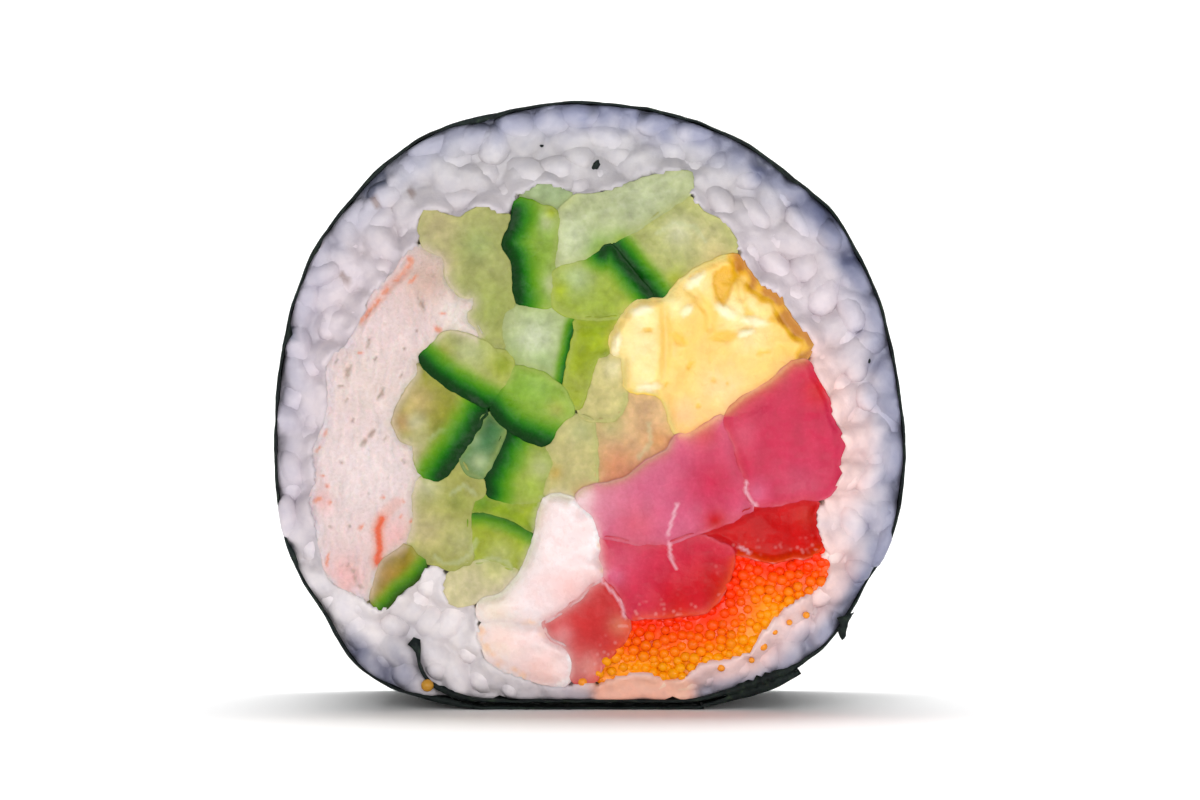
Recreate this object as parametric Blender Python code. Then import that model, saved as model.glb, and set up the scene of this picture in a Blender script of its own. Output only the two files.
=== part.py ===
"""A cut slice of futomaki, a thick sushi roll, standing on the flat of its seaweed wrapper.

The cut face looks along -Y, +Z is up, and the origin is on the surface that the slice stands on, below
its middle. Sizes are millimetres here, and become metres where a mesh is made.
"""

import math
import random

import bmesh
import bpy
from mathutils import Matrix, Vector, noise
from mathutils.geometry import delaunay_2d_cdt

MM = 0.001

# Sizes of the slice as a whole
SLICE_THICK = 22.0
FRONT = -SLICE_THICK / 2
BACK = SLICE_THICK / 2
GAP = 0.3  # between pieces that touch
CENTRE = Vector((0.0, 28.5))  # middle of the roll, x and z

# Wrapper: one sheet whose ends lap under the slice
NORI_THICK = 0.4
LAP_GAP = 0.25
NORI_STEP = 2.5  # between the sheet's facets
RIM_STEP = 0.6  # between the points that the rim is measured along
TAIL_STEP = 1.2
FLAP_END = (20.2, 3.2)  # where the outer end stops
FLAP_EASE = 6.0  # length over which the inner layer comes out to the rim
FOOT = ((-9.0, 0.0), (9.0, 0.0))  # the ends of the flat that it stands on
FOOT_SNAP = 0.02  # the sheet's underside is flat where it comes this near to the table
TAIL_ROOT = (-12.6, 0.4)  # where the inner end leaves the lap and turns up into the rice
TAIL = ((-17.3, 6.3), (-16.5, 5.5), (-16.3, 4.4), (-15.8, 3.2), (-14.6, 2.0))
POCKET_FLOOR_X = -16.8  # the rice left of the tail ends here
POCKET_TOP_Z = 3.0
TURN_TOP_Z = 4.0  # the sheet's full turn ends below this height

# Rice
RICE_SINK = 1.25  # the core's faces lie this far behind the cut
GRAIN_PROUD = (-0.35, 0.25)  # where a grain's outermost point lies, from the cut
GRAIN_LENGTH = (5.2, 6.6)
GRAIN_WIDTH = (2.7, 3.2)
GRAIN_FLATNESS = 0.85
GRAIN_SPACING = 2.6
GRAIN_MARGIN = 0.05
GRAIN_CLEAR = 0.8  # of its half width, from a grain's middle to the rice's edge
GRAIN_SHRINK = 0.45  # how much smaller the last try at fitting a grain is
GRAIN_TILT = 0.9
GRAIN_SEEDS = {-1: 11, 1: 23}
GRAIN_TRIES = 6000
GRAIN_TURNS = 18
GRAIN_SIDES = 6
GRAIN_RINGS = 4

# Roe
BEAD_RADIUS = (0.48, 0.62)
BEAD_SPACING = 1.45
BEAD_TRIES = 900
BEAD_PROUD = 0.35  # of its radius, from the heap's face to a bead's middle
BEAD_MARGIN = 0.05
BEAD_SEEDS = {-1: 5, 1: 6}

# Fillings
SWIRL = math.radians(8)  # how far the sticks twist from front to back
SWIRL_REACH = 27.0  # the twist dies out at this distance from the middle
EDGE_DROP = 0.3  # how far a cut end's edge lies behind its face
CORNER = 0.4  # how much a sharp corner is cut off
CORNER_SHARE = 0.4  # and at most this much of the side next to it
SHARP = math.radians(35)
MITRE_LIMIT = 0.45  # the least cosine that a moved corner is stretched by
CREASE = math.radians(40)  # edges sharper than this are shaded sharp
FACE_GRID = 2.6  # spacing of the points that carry a face's relief
FACE_CLEAR = 0.42  # of the spacing, from the face's edge
SWELL_REACH = 1.5  # how far in from its edge a face goes on swelling
ROUGH_SCALE = 0.45
ROUGH_SEED = 9.0
OUTLINE_STEP = 1.5

# The outside of the roll, from the left end of its flat foot and round to the right
RIM = (
    (-9.0, 0.0), (-3.0, 0.0), (3.0, 0.0), (9.0, 0.0), (13.6, 0.8), (18.0, 2.1), (21.6, 4.6), (24.2, 8.0),
    (26.4, 11.7), (28.6, 15.4), (29.6, 19.2), (30.2, 24.4), (29.8, 29.0), (29.0, 34.0), (27.6, 39.4),
    (25.5, 43.8), (23.2, 47.6), (19.8, 50.5), (15.4, 53.8), (9.6, 56.4), (3.4, 57.7), (-2.8, 58.0),
    (-8.6, 57.0), (-14.6, 55.4), (-19.6, 52.2), (-23.6, 47.8), (-26.6, 43.6), (-28.6, 38.2),
    (-29.7, 32.6), (-30.2, 25.6), (-29.8, 18.8), (-28.4, 14.0), (-25.6, 9.2), (-22.6, 4.4),
    (-18.6, 1.8), (-13.4, 0.4),
)

# Where pieces meet on the cut. Each border is drawn once, and both of its pieces follow it.
BORDERS = (
    # Crab stick, on the left
    ("crab_stick", "rice", (
        (-21.0, 10.2), (-22.6, 11.3), (-24.4, 12.2), (-25.4, 14.4), (-26.0, 17.4), (-26.6, 19.8),
        (-26.0, 22.0), (-26.4, 24.2), (-25.2, 27.2), (-24.8, 30.0), (-25.0, 33.0), (-23.2, 34.6),
        (-21.9, 36.8), (-20.6, 39.6), (-18.6, 41.6), (-17.4, 43.6), (-16.1, 44.3))),
    ("crab_stick", "cucumber_core_upper", (
        (-16.1, 44.3), (-15.0, 43.6), (-13.9, 43.1), (-13.6, 41.1), (-12.0, 39.2), (-10.9, 39.5),
        (-11.1, 38.1), (-11.9, 37.7), (-10.7, 36.2), (-10.1, 35.1))),
    ("crab_stick", "cucumber_wedge_left", (
        (-10.1, 35.1), (-12.2, 35.8), (-13.7, 36.1), (-14.6, 35.1), (-16.4, 33.5))),
    ("crab_stick", "cucumber_strip_slant", (
        (-16.4, 33.5), (-16.3, 32.2), (-17.2, 30.8), (-18.2, 29.2), (-18.8, 27.4), (-18.0, 25.7),
        (-16.8, 25.2), (-16.6, 23.6), (-16.2, 22.4))),
    ("crab_stick", "cucumber_core_left", ((-16.2, 22.4), (-16.8, 20.6), (-16.8, 18.0), (-17.3, 16.0))),
    ("crab_stick", "cucumber_corner", (
        (-17.3, 16.0), (-18.2, 15.2), (-19.8, 14.2), (-20.4, 12.6), (-21.0, 10.2))),
    # Cucumber round the top
    ("cucumber_core_upper", "rice", (
        (-16.1, 44.3), (-16.2, 46.2), (-15.8, 47.9), (-14.4, 47.3), (-12.6, 46.8), (-10.3, 47.9),
        (-8.3, 47.1), (-7.3, 47.2))),
    ("cucumber_core_upper", "cucumber_strip_upright", (
        (-7.3, 47.2), (-7.5, 46.2), (-8.4, 44.3), (-7.4, 42.8), (-7.2, 40.2), (-7.0, 38.7))),
    ("cucumber_core_upper", "cucumber_block", ((-7.0, 38.7), (-8.3, 37.8), (-8.5, 36.0), (-8.1, 34.2))),
    ("cucumber_core_upper", "cucumber_wedge_left", ((-8.1, 34.2), (-9.1, 34.2), (-10.1, 35.1))),
    ("cucumber_strip_upright", "rice", ((-7.3, 47.2), (-7.1, 48.8))),
    ("cucumber_strip_upright", "cucumber_chip", ((-7.1, 48.8), (-5.6, 48.3), (-3.0, 47.6))),
    ("cucumber_strip_upright", "cucumber_slab_top", ((-3.0, 47.6), (-3.2, 45.0), (-3.5, 41.8))),
    ("cucumber_strip_upright", "cucumber_wedge_middle", ((-3.5, 41.8), (-3.6, 38.3))),
    ("cucumber_strip_upright", "cucumber_block", ((-3.6, 38.3), (-7.0, 38.7))),
    ("cucumber_chip", "rice", ((-7.1, 48.8), (-5.8, 49.4), (-4.4, 50.2), (-3.4, 49.8), (-1.3, 48.9))),
    ("cucumber_chip", "cucumber_slab_top", ((-1.3, 48.9), (-3.0, 47.6))),
    ("cucumber_slab_top", "rice", (
        (-1.3, 48.9), (1.2, 49.2), (4.6, 50.3), (7.6, 51.2), (9.8, 51.2), (9.5, 49.0))),
    ("cucumber_slab_top", "cucumber_slab_right", ((9.5, 49.0), (7.2, 47.6), (4.6, 45.9), (1.9, 44.5))),
    ("cucumber_slab_top", "cucumber_wedge_middle", ((1.9, 44.5), (0.4, 43.1), (-1.6, 42.4), (-3.5, 41.8))),
    ("cucumber_slab_right", "rice", ((9.5, 49.0), (10.6, 47.5), (12.4, 46.5), (13.6, 45.2), (14.1, 43.4))),
    ("cucumber_slab_right", "omelette", (
        (14.1, 43.4), (12.4, 43.0), (10.2, 42.0), (8.4, 40.6), (7.2, 39.1), (6.3, 39.0))),
    ("cucumber_slab_right", "cucumber_wedge_middle", ((6.3, 39.0), (4.2, 41.6), (1.9, 44.5))),
    # Cucumber in the middle
    ("cucumber_wedge_middle", "omelette", ((6.3, 39.0), (5.0, 39.0), (3.9, 38.5), (3.1, 37.4))),
    ("cucumber_wedge_middle", "cucumber_strip_yellow", ((3.1, 37.4), (1.0, 37.2), (-1.6, 37.4))),
    ("cucumber_wedge_middle", "cucumber_block", ((-1.6, 37.4), (-3.6, 38.3))),
    ("cucumber_strip_yellow", "omelette", ((3.1, 37.4), (2.2, 35.9), (1.9, 34.0))),
    ("cucumber_strip_yellow", "cucumber_core_right", (
        (1.9, 34.0), (0.6, 33.5), (-0.1, 31.2), (-0.7, 29.4), (-1.4, 28.2))),
    ("cucumber_strip_yellow", "cucumber_wedge_right", ((-1.4, 28.2), (-2.5, 30.5))),
    ("cucumber_strip_yellow", "cucumber_block", ((-2.5, 30.5), (-2.0, 33.4), (-1.4, 36.2), (-1.6, 37.4))),
    ("cucumber_block", "cucumber_wedge_right", ((-2.5, 30.5), (-3.6, 31.4), (-4.4, 32.0), (-7.1, 32.8))),
    ("cucumber_block", "cucumber_wedge_left", ((-7.1, 32.8), (-8.1, 34.2))),
    ("cucumber_wedge_left", "cucumber_wedge_right", ((-7.1, 32.8), (-7.9, 30.9), (-9.7, 28.7))),
    ("cucumber_wedge_left", "cucumber_strip_slant", (
        (-9.7, 28.7), (-12.2, 30.0), (-15.0, 31.9), (-16.4, 33.5))),
    ("cucumber_wedge_right", "cucumber_sliver", ((-9.7, 28.7), (-8.0, 26.8))),
    ("cucumber_wedge_right", "cucumber_block_lower", ((-8.0, 26.8), (-5.9, 25.7), (-4.2, 25.1))),
    ("cucumber_wedge_right", "cucumber_core_inner", (
        (-4.2, 25.1), (-3.3, 26.6), (-2.6, 27.6), (-1.4, 28.2))),
    ("cucumber_strip_slant", "cucumber_sliver", ((-9.7, 28.7), (-11.2, 26.0), (-12.6, 24.0))),
    ("cucumber_strip_slant", "cucumber_core_left", (
        (-12.6, 24.0), (-14.0, 22.0), (-15.2, 22.1), (-16.2, 22.4))),
    ("cucumber_sliver", "cucumber_core_left", ((-12.6, 24.0), (-11.6, 22.6), (-10.2, 22.0))),
    ("cucumber_sliver", "cucumber_block_lower", ((-10.2, 22.0), (-9.0, 24.4), (-8.0, 26.8))),
    ("cucumber_block_lower", "cucumber_core_left", ((-10.2, 22.0), (-10.0, 20.6))),
    ("cucumber_block_lower", "cucumber_band", ((-10.0, 20.6), (-8.4, 20.0), (-6.4, 19.7), (-4.5, 20.1))),
    ("cucumber_block_lower", "cucumber_core_inner", ((-4.5, 20.1), (-4.2, 21.6), (-3.4, 23.4), (-4.2, 25.1))),
    # Cucumber at the lower left
    ("cucumber_band", "cucumber_core_left", ((-10.0, 20.6), (-11.1, 20.0), (-11.5, 18.6))),
    ("cucumber_band", "cucumber_cap", ((-11.5, 18.6), (-9.8, 18.6), (-8.0, 18.0), (-5.3, 16.6))),
    ("cucumber_band", "prawn_upper", ((-5.3, 16.6), (-4.9, 18.4), (-4.5, 20.1))),
    ("cucumber_cap", "cucumber_core_left", ((-11.5, 18.6), (-11.4, 16.4), (-11.2, 14.0))),
    ("cucumber_cap", "cucumber_core_foot", ((-11.2, 14.0), (-9.8, 14.2), (-8.2, 13.7), (-6.5, 13.2))),
    ("cucumber_cap", "prawn_upper", ((-6.5, 13.2), (-5.8, 14.8), (-5.3, 16.6))),
    ("cucumber_core_left", "cucumber_core_foot", ((-11.2, 14.0), (-12.2, 13.8), (-13.3, 13.2))),
    ("cucumber_core_left", "rice", ((-13.3, 13.2), (-14.4, 13.8), (-15.3, 14.0))),
    ("cucumber_core_left", "cucumber_corner", ((-15.3, 14.0), (-16.7, 14.8), (-17.3, 16.0))),
    ("cucumber_corner", "rice", ((-15.3, 14.0), (-16.7, 12.3), (-18.2, 11.1), (-19.6, 9.4), (-21.0, 10.2))),
    ("cucumber_core_foot", "rice", (
        (-13.3, 13.2), (-13.8, 12.0), (-13.7, 10.3), (-12.2, 10.0), (-10.4, 10.4))),
    ("cucumber_core_foot", "prawn_upper", ((-10.4, 10.4), (-8.6, 10.9), (-7.4, 12.1), (-6.5, 13.2))),
    # Pale cucumber between the greens and the tuna
    ("cucumber_core_inner", "prawn_upper", ((-4.5, 20.1), (-3.2, 20.5), (-1.6, 20.1))),
    ("cucumber_core_inner", "tuna_upper", ((-1.6, 20.1), (-0.6, 21.0), (0.6, 21.4))),
    ("cucumber_core_inner", "cucumber_core_blush", ((0.6, 21.4), (0.6, 24.0), (0.4, 27.6))),
    ("cucumber_core_inner", "cucumber_core_right", ((0.4, 27.6), (-1.4, 28.2))),
    ("cucumber_core_right", "cucumber_core_blush", ((0.4, 27.6), (2.4, 27.5), (3.3, 29.0), (3.4, 30.4))),
    ("cucumber_core_right", "omelette", ((3.4, 30.4), (3.2, 32.2), (3.1, 33.6), (1.9, 34.0))),
    ("cucumber_core_blush", "omelette", ((3.4, 30.4), (6.6, 29.9), (7.5, 27.8), (8.1, 26.1))),
    ("cucumber_core_blush", "tuna_upper", ((8.1, 26.1), (7.4, 24.8), (5.4, 23.6), (3.2, 22.0), (0.6, 21.4))),
    # Omelette
    ("omelette", "rice", (
        (14.1, 43.4), (15.0, 41.8), (16.2, 40.4), (18.0, 39.5), (18.9, 37.6), (20.0, 36.2),
        (21.3, 35.4), (20.7, 33.4))),
    ("omelette", "tuna_right", ((20.7, 33.4), (19.3, 33.1), (17.2, 31.3), (14.8, 29.9), (12.9, 28.3))),
    ("omelette", "tuna_upper", ((12.9, 28.3), (11.0, 27.1), (9.4, 26.2), (8.1, 26.1))),
    # Tuna
    ("tuna_right", "rice", (
        (20.7, 33.4), (21.8, 31.2), (22.6, 29.6), (23.2, 27.4), (24.3, 25.1), (23.7, 24.0),
        (23.8, 22.0), (22.8, 20.6), (21.8, 20.1))),
    ("tuna_right", "tuna_upper", (
        (12.9, 28.3), (13.0, 27.0), (13.7, 25.3), (14.2, 23.4), (14.8, 22.0), (15.0, 20.4), (15.8, 19.4))),
    ("tuna_right", "tuna_dark", ((15.8, 19.4), (18.2, 19.6), (20.0, 20.1), (21.8, 20.1))),
    ("tuna_upper", "tuna_dark", ((15.8, 19.4), (13.8, 18.2), (11.4, 17.2), (9.6, 16.6))),
    ("tuna_upper", "tuna_middle", ((9.6, 16.6), (7.6, 15.9), (4.4, 15.8), (2.4, 16.3), (0.9, 16.4))),
    ("tuna_upper", "prawn_upper", ((0.9, 16.4), (0.4, 18.2), (-0.6, 19.3), (-1.6, 20.1))),
    ("tuna_dark", "tuna_middle", ((9.6, 16.6), (11.6, 16.2), (13.8, 15.0))),
    ("tuna_dark", "rice", ((21.8, 20.1), (21.4, 18.6), (21.6, 17.0), (22.2, 15.6))),
    ("tuna_dark", "roe", (
        (13.8, 15.0), (15.6, 14.5), (17.4, 14.1), (19.4, 14.5), (20.8, 14.5), (22.2, 15.6))),
    ("tuna_middle", "roe", (
        (13.8, 15.0), (13.4, 13.0), (12.4, 10.8), (11.2, 9.4), (7.0, 8.9), (5.0, 8.8), (3.7, 8.6))),
    ("tuna_middle", "tuna_foot", ((3.7, 8.6), (3.2, 10.4), (2.4, 11.8), (1.5, 12.6))),
    ("tuna_middle", "prawn_upper", ((1.5, 12.6), (1.0, 14.4), (0.9, 16.4))),
    ("tuna_foot", "prawn_upper", ((1.5, 12.6), (0.4, 12.1), (-1.2, 10.5), (-2.9, 9.2), (-4.6, 8.3))),
    ("tuna_foot", "prawn_lower", ((-4.6, 8.3), (-4.0, 6.9), (-2.4, 5.9), (-1.7, 4.8), (-1.9, 2.7))),
    ("tuna_foot", "rice", ((-1.9, 2.7), (-0.8, 2.6), (0.4, 2.5))),
    ("tuna_foot", "roe", ((0.4, 2.5), (1.0, 3.8), (2.2, 5.4), (3.6, 7.0), (3.7, 8.6))),
    # Roe and prawn
    ("roe", "rice", (
        (22.2, 15.6), (22.7, 14.0), (22.4, 12.2), (20.8, 11.2), (18.6, 9.8), (16.6, 7.6), (15.2, 5.6),
        (13.2, 4.9), (10.6, 4.5), (8.4, 2.8), (7.2, 3.0), (5.4, 3.6), (2.4, 3.2), (0.4, 2.5))),
    ("prawn_upper", "prawn_lower", ((-4.6, 8.3), (-6.4, 8.2), (-8.6, 8.5), (-10.4, 8.3))),
    ("prawn_upper", "rice", ((-10.4, 8.3), (-10.9, 9.4), (-10.4, 10.4))),
    ("prawn_lower", "rice", (
        (-1.9, 2.7), (-2.9, 2.3), (-4.6, 2.6), (-7.4, 3.5), (-9.4, 4.5), (-10.5, 6.4), (-10.4, 8.3))),
)

# Each filling's finish, how far its cut end stands proud, how much it swells, and how rough it is
FILLINGS = {
    "crab_stick": ("crab", 0.1, 0.2, 0.35),
    "cucumber_core_upper": ("cucumber", -0.5, 0.2, 0.15),
    "cucumber_strip_upright": ("cucumber", 0.3, 0.15, 0.1),
    "cucumber_chip": ("cucumber", -0.7, 0.1, 0.05),
    "cucumber_slab_top": ("cucumber", 0.1, 0.2, 0.12),
    "cucumber_slab_right": ("cucumber", -0.3, 0.2, 0.12),
    "cucumber_wedge_middle": ("cucumber", 0.0, 0.25, 0.1),
    "cucumber_strip_yellow": ("cucumber", -0.4, 0.2, 0.1),
    "cucumber_block": ("cucumber", 0.35, 0.2, 0.1),
    "cucumber_wedge_left": ("cucumber", 0.2, 0.15, 0.1),
    "cucumber_wedge_right": ("cucumber", 0.4, 0.15, 0.1),
    "cucumber_strip_slant": ("cucumber", -0.2, 0.15, 0.12),
    "cucumber_sliver": ("cucumber", -0.6, 0.1, 0.05),
    "cucumber_block_lower": ("cucumber", 0.2, 0.2, 0.1),
    "cucumber_band": ("cucumber", -0.1, 0.15, 0.1),
    "cucumber_cap": ("cucumber", 0.1, 0.2, 0.1),
    "cucumber_corner": ("cucumber", -0.2, 0.15, 0.1),
    "cucumber_core_left": ("cucumber", -0.3, 0.2, 0.15),
    "cucumber_core_foot": ("cucumber", -0.4, 0.25, 0.1),
    "cucumber_core_inner": ("cucumber", -0.2, 0.25, 0.1),
    "cucumber_core_right": ("cucumber", -0.4, 0.2, 0.1),
    "cucumber_core_blush": ("cucumber", -0.5, 0.2, 0.1),
    "omelette": ("omelette", 0.1, 0.2, 0.35),
    "tuna_right": ("tuna", 0.3, 0.3, 0.12),
    "tuna_upper": ("tuna", 0.0, 0.3, 0.12),
    "tuna_dark": ("tuna", -0.6, 0.2, 0.1),
    "tuna_middle": ("tuna", 0.1, 0.3, 0.12),
    "tuna_foot": ("tuna", -0.1, 0.3, 0.12),
    "prawn_upper": ("prawn", 0.1, 0.6, 0.1),
    "prawn_lower": ("prawn", 0.0, 0.5, 0.1),
}
ROE_SINK = 0.5

# Colour and roughness of each finish
FINISHES = {
    "nori": ((0.012, 0.02, 0.016), 0.55),
    "rice": ((0.86, 0.85, 0.84), 0.35),
    "crab": ((0.90, 0.78, 0.72), 0.5),
    "cucumber": ((0.42, 0.56, 0.16), 0.3),
    "omelette": ((0.93, 0.74, 0.28), 0.5),
    "tuna": ((0.66, 0.08, 0.12), 0.3),
    "roe": ((0.95, 0.26, 0.02), 0.2),
    "prawn": ((0.92, 0.82, 0.76), 0.35),
}


def clear_scene():
    for thing in list(bpy.data.objects):
        bpy.data.objects.remove(thing)


def finish(name):
    """The Principled material of that finish, made the first time it is asked for."""
    made = bpy.data.materials.get(name)
    if made is None:
        made = bpy.data.materials.new(name)
        made.use_nodes = True
        colour, roughness = FINISHES[name]
        shader = made.node_tree.nodes["Principled BSDF"]
        shader.inputs["Base Color"].default_value = (*colour, 1.0)
        shader.inputs["Roughness"].default_value = roughness
    return made


def add_object(name, mesh_data, finish_name, collection=None):
    """A scene object for a bmesh in millimetres, turned to metres."""
    bmesh.ops.scale(mesh_data, vec=(MM, MM, MM), verts=mesh_data.verts)
    bmesh.ops.recalc_face_normals(mesh_data, faces=mesh_data.faces)
    mesh = bpy.data.meshes.new(name)
    mesh_data.to_mesh(mesh)
    mesh_data.free()
    mesh.materials.append(finish(finish_name))
    mesh.shade_smooth()
    mesh.set_sharp_from_angle(angle=CREASE)
    thing = bpy.data.objects.new(name, mesh)
    (collection or bpy.context.scene.collection).objects.link(thing)
    return thing


def spline(points, closed, step):
    """Points about a step apart along a Catmull-Rom curve through the given ones."""
    ends = [Vector(p) for p in points]
    count = len(ends)
    curve = []
    for i in range(count if closed else count - 1):
        if closed:
            before, start, end, after = (ends[(i + k) % count] for k in (-1, 0, 1, 2))
        else:
            start, end = ends[i], ends[i + 1]
            before = ends[i - 1] if i else 2 * start - end
            after = ends[i + 2] if i + 2 < count else 2 * end - start
        pieces = max(1, round((end - start).length / step))
        for k in range(pieces):
            t = k / pieces
            curve.append(0.5 * (2 * start + (end - before) * t
                                + (2 * before - 5 * start + 4 * end - after) * t ** 2
                                + (3 * start - before - 3 * end + after) * t ** 3))
    return curve if closed else curve + [ends[-1]]


def signed_area(loop):
    return sum(a.cross(b) for a, b in zip(loop, loop[1:] + loop[:1])) / 2


def left_normals(line, closed):
    """The unit normal on the left of the line at each of its points, from the points on both sides."""
    count = len(line)
    normals = []
    for i in range(count):
        before = line[i - 1] if closed or i else line[0]
        after = line[(i + 1) % count] if closed or i + 1 < count else line[-1]
        along = (after - before).normalized()
        normals.append(Vector((-along.y, along.x)))
    return normals


def shifted(loop, distance):
    """The counter-clockwise loop moved inwards by the distance, with mitred corners."""
    moved = []
    count = len(loop)
    for i in range(count):
        into = (loop[i] - loop[i - 1]).normalized()
        out = (loop[(i + 1) % count] - loop[i]).normalized()
        side = Vector((-into.y - out.y, into.x + out.x))
        mitre = side.normalized()
        spread = max(MITRE_LIMIT, mitre.dot(Vector((-into.y, into.x))))
        moved.append(loop[i] + mitre * (distance / spread))
    return moved


def corners_cut(loop):
    """The counter-clockwise loop with its sharp outward corners cut off."""
    made = []
    count = len(loop)
    for i in range(count):
        back, on = loop[i - 1] - loop[i], loop[(i + 1) % count] - loop[i]
        turn = (-back).angle_signed(on, 0)
        outward = (-back).cross(on) > 0
        if outward and abs(turn) > SHARP:
            made += [loop[i] + side.normalized() * min(CORNER, CORNER_SHARE * side.length) for side in (back, on)]
        else:
            made.append(loop[i])
    return made


def chained(lines):
    """One closed counter-clockwise loop from lines that share end points."""
    left = [list(line) for line in lines]
    loop = left.pop(0)
    while left:
        for i, line in enumerate(left):
            if (line[0] - loop[-1]).length < 1e-6:
                loop += line[1:]
            elif (line[-1] - loop[-1]).length < 1e-6:
                loop += line[-2::-1]
            else:
                continue
            left.pop(i)
            break
        else:
            raise ValueError(f"no border goes on from {tuple(loop[-1])}")
    loop.pop()
    return loop if signed_area(loop) > 0 else loop[::-1]


def outline_of(piece, curves):
    return chained([curve for first, second, curve in curves if piece in (first, second)])


def inside(point, loop):
    """True if the point is in the closed loop, by counting crossings."""
    odd = False
    for a, b in zip(loop, loop[1:] + loop[:1]):
        if (a.y > point.y) != (b.y > point.y):
            if point.x < a.x + (b.x - a.x) * (point.y - a.y) / (b.y - a.y):
                odd = not odd
    return odd


def edge_distance(point, loop):
    """How far the point is from the closed loop's line."""
    best = math.inf
    for a, b in zip(loop, loop[1:] + loop[:1]):
        along = b - a
        t = max(0.0, min(1.0, (point - a).dot(along) / along.length_squared))
        best = min(best, (point - a - t * along).length)
    return best


def swirled(x, y, z):
    """A point of the fillings moved by their twist, which grows from the front to the back."""
    arm = Vector((x, z)) - CENTRE
    fade = max(0.0, 1 - (arm.length / SWIRL_REACH) ** 2) ** 2
    angle = SWIRL * fade * (y - FRONT) / SLICE_THICK
    turned = Matrix.Rotation(angle, 2) @ arm + CENTRE
    return Vector((turned.x, y, turned.y))


def face_points(loop):
    """A staggered grid of points inside the loop, clear of its edge."""
    xs = [p.x for p in loop]
    zs = [p.y for p in loop]
    clear = FACE_CLEAR * FACE_GRID
    found = []
    row = 0
    z = min(zs) + FACE_GRID / 2
    while z < max(zs):
        x = min(xs) + FACE_GRID * (0.25 + 0.5 * (row % 2))
        while x < max(xs):
            point = Vector((x, z))
            if inside(point, loop) and edge_distance(point, loop) > clear:
                found.append(point)
            x += FACE_GRID
        z += FACE_GRID * 0.87
        row += 1
    return found


def slab(loops, front, back, face_relief=None):
    """A bmesh of the loops carried through the roll: the first is the outline, the others are holes.

    face_relief gives how far a point inside the face stands out from its edge, in front and behind.
    """
    rim_points = [p for loop in loops for p in loop]
    edges = []
    start = 0
    for loop in loops:
        edges += [(start + i, start + (i + 1) % len(loop)) for i in range(len(loop))]
        start += len(loop)
    inner = face_points(loops[0]) if face_relief else []
    plan, _, triangles, origin, _, _ = delaunay_2d_cdt(rim_points + inner, edges, [], 1, 1e-5)
    made = bmesh.new()
    layers = []
    for side, depth in ((-1, front), (1, back)):
        layer = []
        for i, p in enumerate(plan):
            is_rim = min(origin[i]) < len(rim_points)
            out = 0.0 if is_rim or not face_relief else face_relief(p, side)
            layer.append(made.verts.new(swirled(p.x, depth + side * out, p.y)))
        layers.append(layer)
    for triangle in triangles:
        middle = sum((plan[i] for i in triangle), Vector((0, 0))) / 3
        if not any(inside(middle, hole) for hole in loops[1:]):
            for layer in layers:
                made.faces.new([layer[i] for i in triangle])
    place = {old: new for new, olds in enumerate(origin) for old in olds}
    for a, b in edges:
        a, b = place[a], place[b]
        made.faces.new((layers[0][a], layers[0][b], layers[1][b], layers[1][a]))
    return made


def fill_relief(piece, outline):
    """How far a point of that filling's cut face stands out from the face's edge."""
    _, _, swell, rough = FILLINGS[piece]

    def relief(point, side):
        depth = edge_distance(point, outline)
        grain = noise.noise(Vector((point.x * ROUGH_SCALE, side * ROUGH_SEED, point.y * ROUGH_SCALE)))
        return EDGE_DROP + swell * (1 - math.exp(-depth / SWELL_REACH)) + rough * grain

    return relief


def add_filling(piece, curves):
    finish_name, proud, _, _ = FILLINGS[piece]
    outline = corners_cut(shifted(outline_of(piece, curves), GAP / 2))
    edge = EDGE_DROP - proud
    body = slab([outline], FRONT + edge, BACK - edge, fill_relief(piece, outline))
    return add_object(piece, body, finish_name)


def along(line, lengths, distance):
    """The point that far along a line whose points have those lengths from its start."""
    distance %= lengths[-1]
    i = max(k for k, length in enumerate(lengths) if length <= distance)
    a, b = line[i], line[(i + 1) % len(line)]
    span = lengths[i + 1] - lengths[i]
    return a.lerp(b, (distance - lengths[i]) / span)


def smooth_step(t):
    t = max(0.0, min(1.0, t))
    return t * t * (3 - 2 * t)


def nori_centre_line():
    """The middle of the sheet's thickness, from the tip of its inner tail to the end of its outer flap."""
    rim = [Vector((p.x, max(0.0, p.y))) for p in spline(RIM, True, RIM_STEP)]
    normals = left_normals(rim, True)
    lengths = [0.0]
    for a, b in zip(rim, rim[1:] + rim[:1]):
        lengths.append(lengths[-1] + (b - a).length)
    whole = lengths[-1]

    def nearest(place):
        return lengths[min(range(len(rim)), key=lambda i: (rim[i] - Vector(place)).length)]

    flap = nearest(FLAP_END)
    root = nearest(TAIL_ROOT) - whole
    lap = NORI_THICK + LAP_GAP
    stations = math.ceil((whole + flap - root) / NORI_STEP)
    distances = [root + (whole + flap - root) * k / stations for k in range(stations + 1)]
    for corner in FOOT:
        exact = whole + nearest(corner)
        distances[min(range(stations), key=lambda k: abs(distances[k] - exact))] = exact
    line = []
    for distance in distances:
        depth = lap * (1 - smooth_step((distance - flap) / FLAP_EASE)) + NORI_THICK / 2
        point = along(rim, lengths, distance)
        normal = along(normals, lengths, distance).normalized()
        line.append(point + normal * depth)
    tail = spline([*TAIL, line[0]], False, TAIL_STEP)
    second_half = range(stations // 2 + 1, len(line))
    turn_end = next(k for k in second_half if line[k].y < TURN_TOP_Z and line[k].x > POCKET_FLOOR_X)
    return tail[:-1] + line, len(tail) - 1, len(tail) - 1 + turn_end


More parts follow.
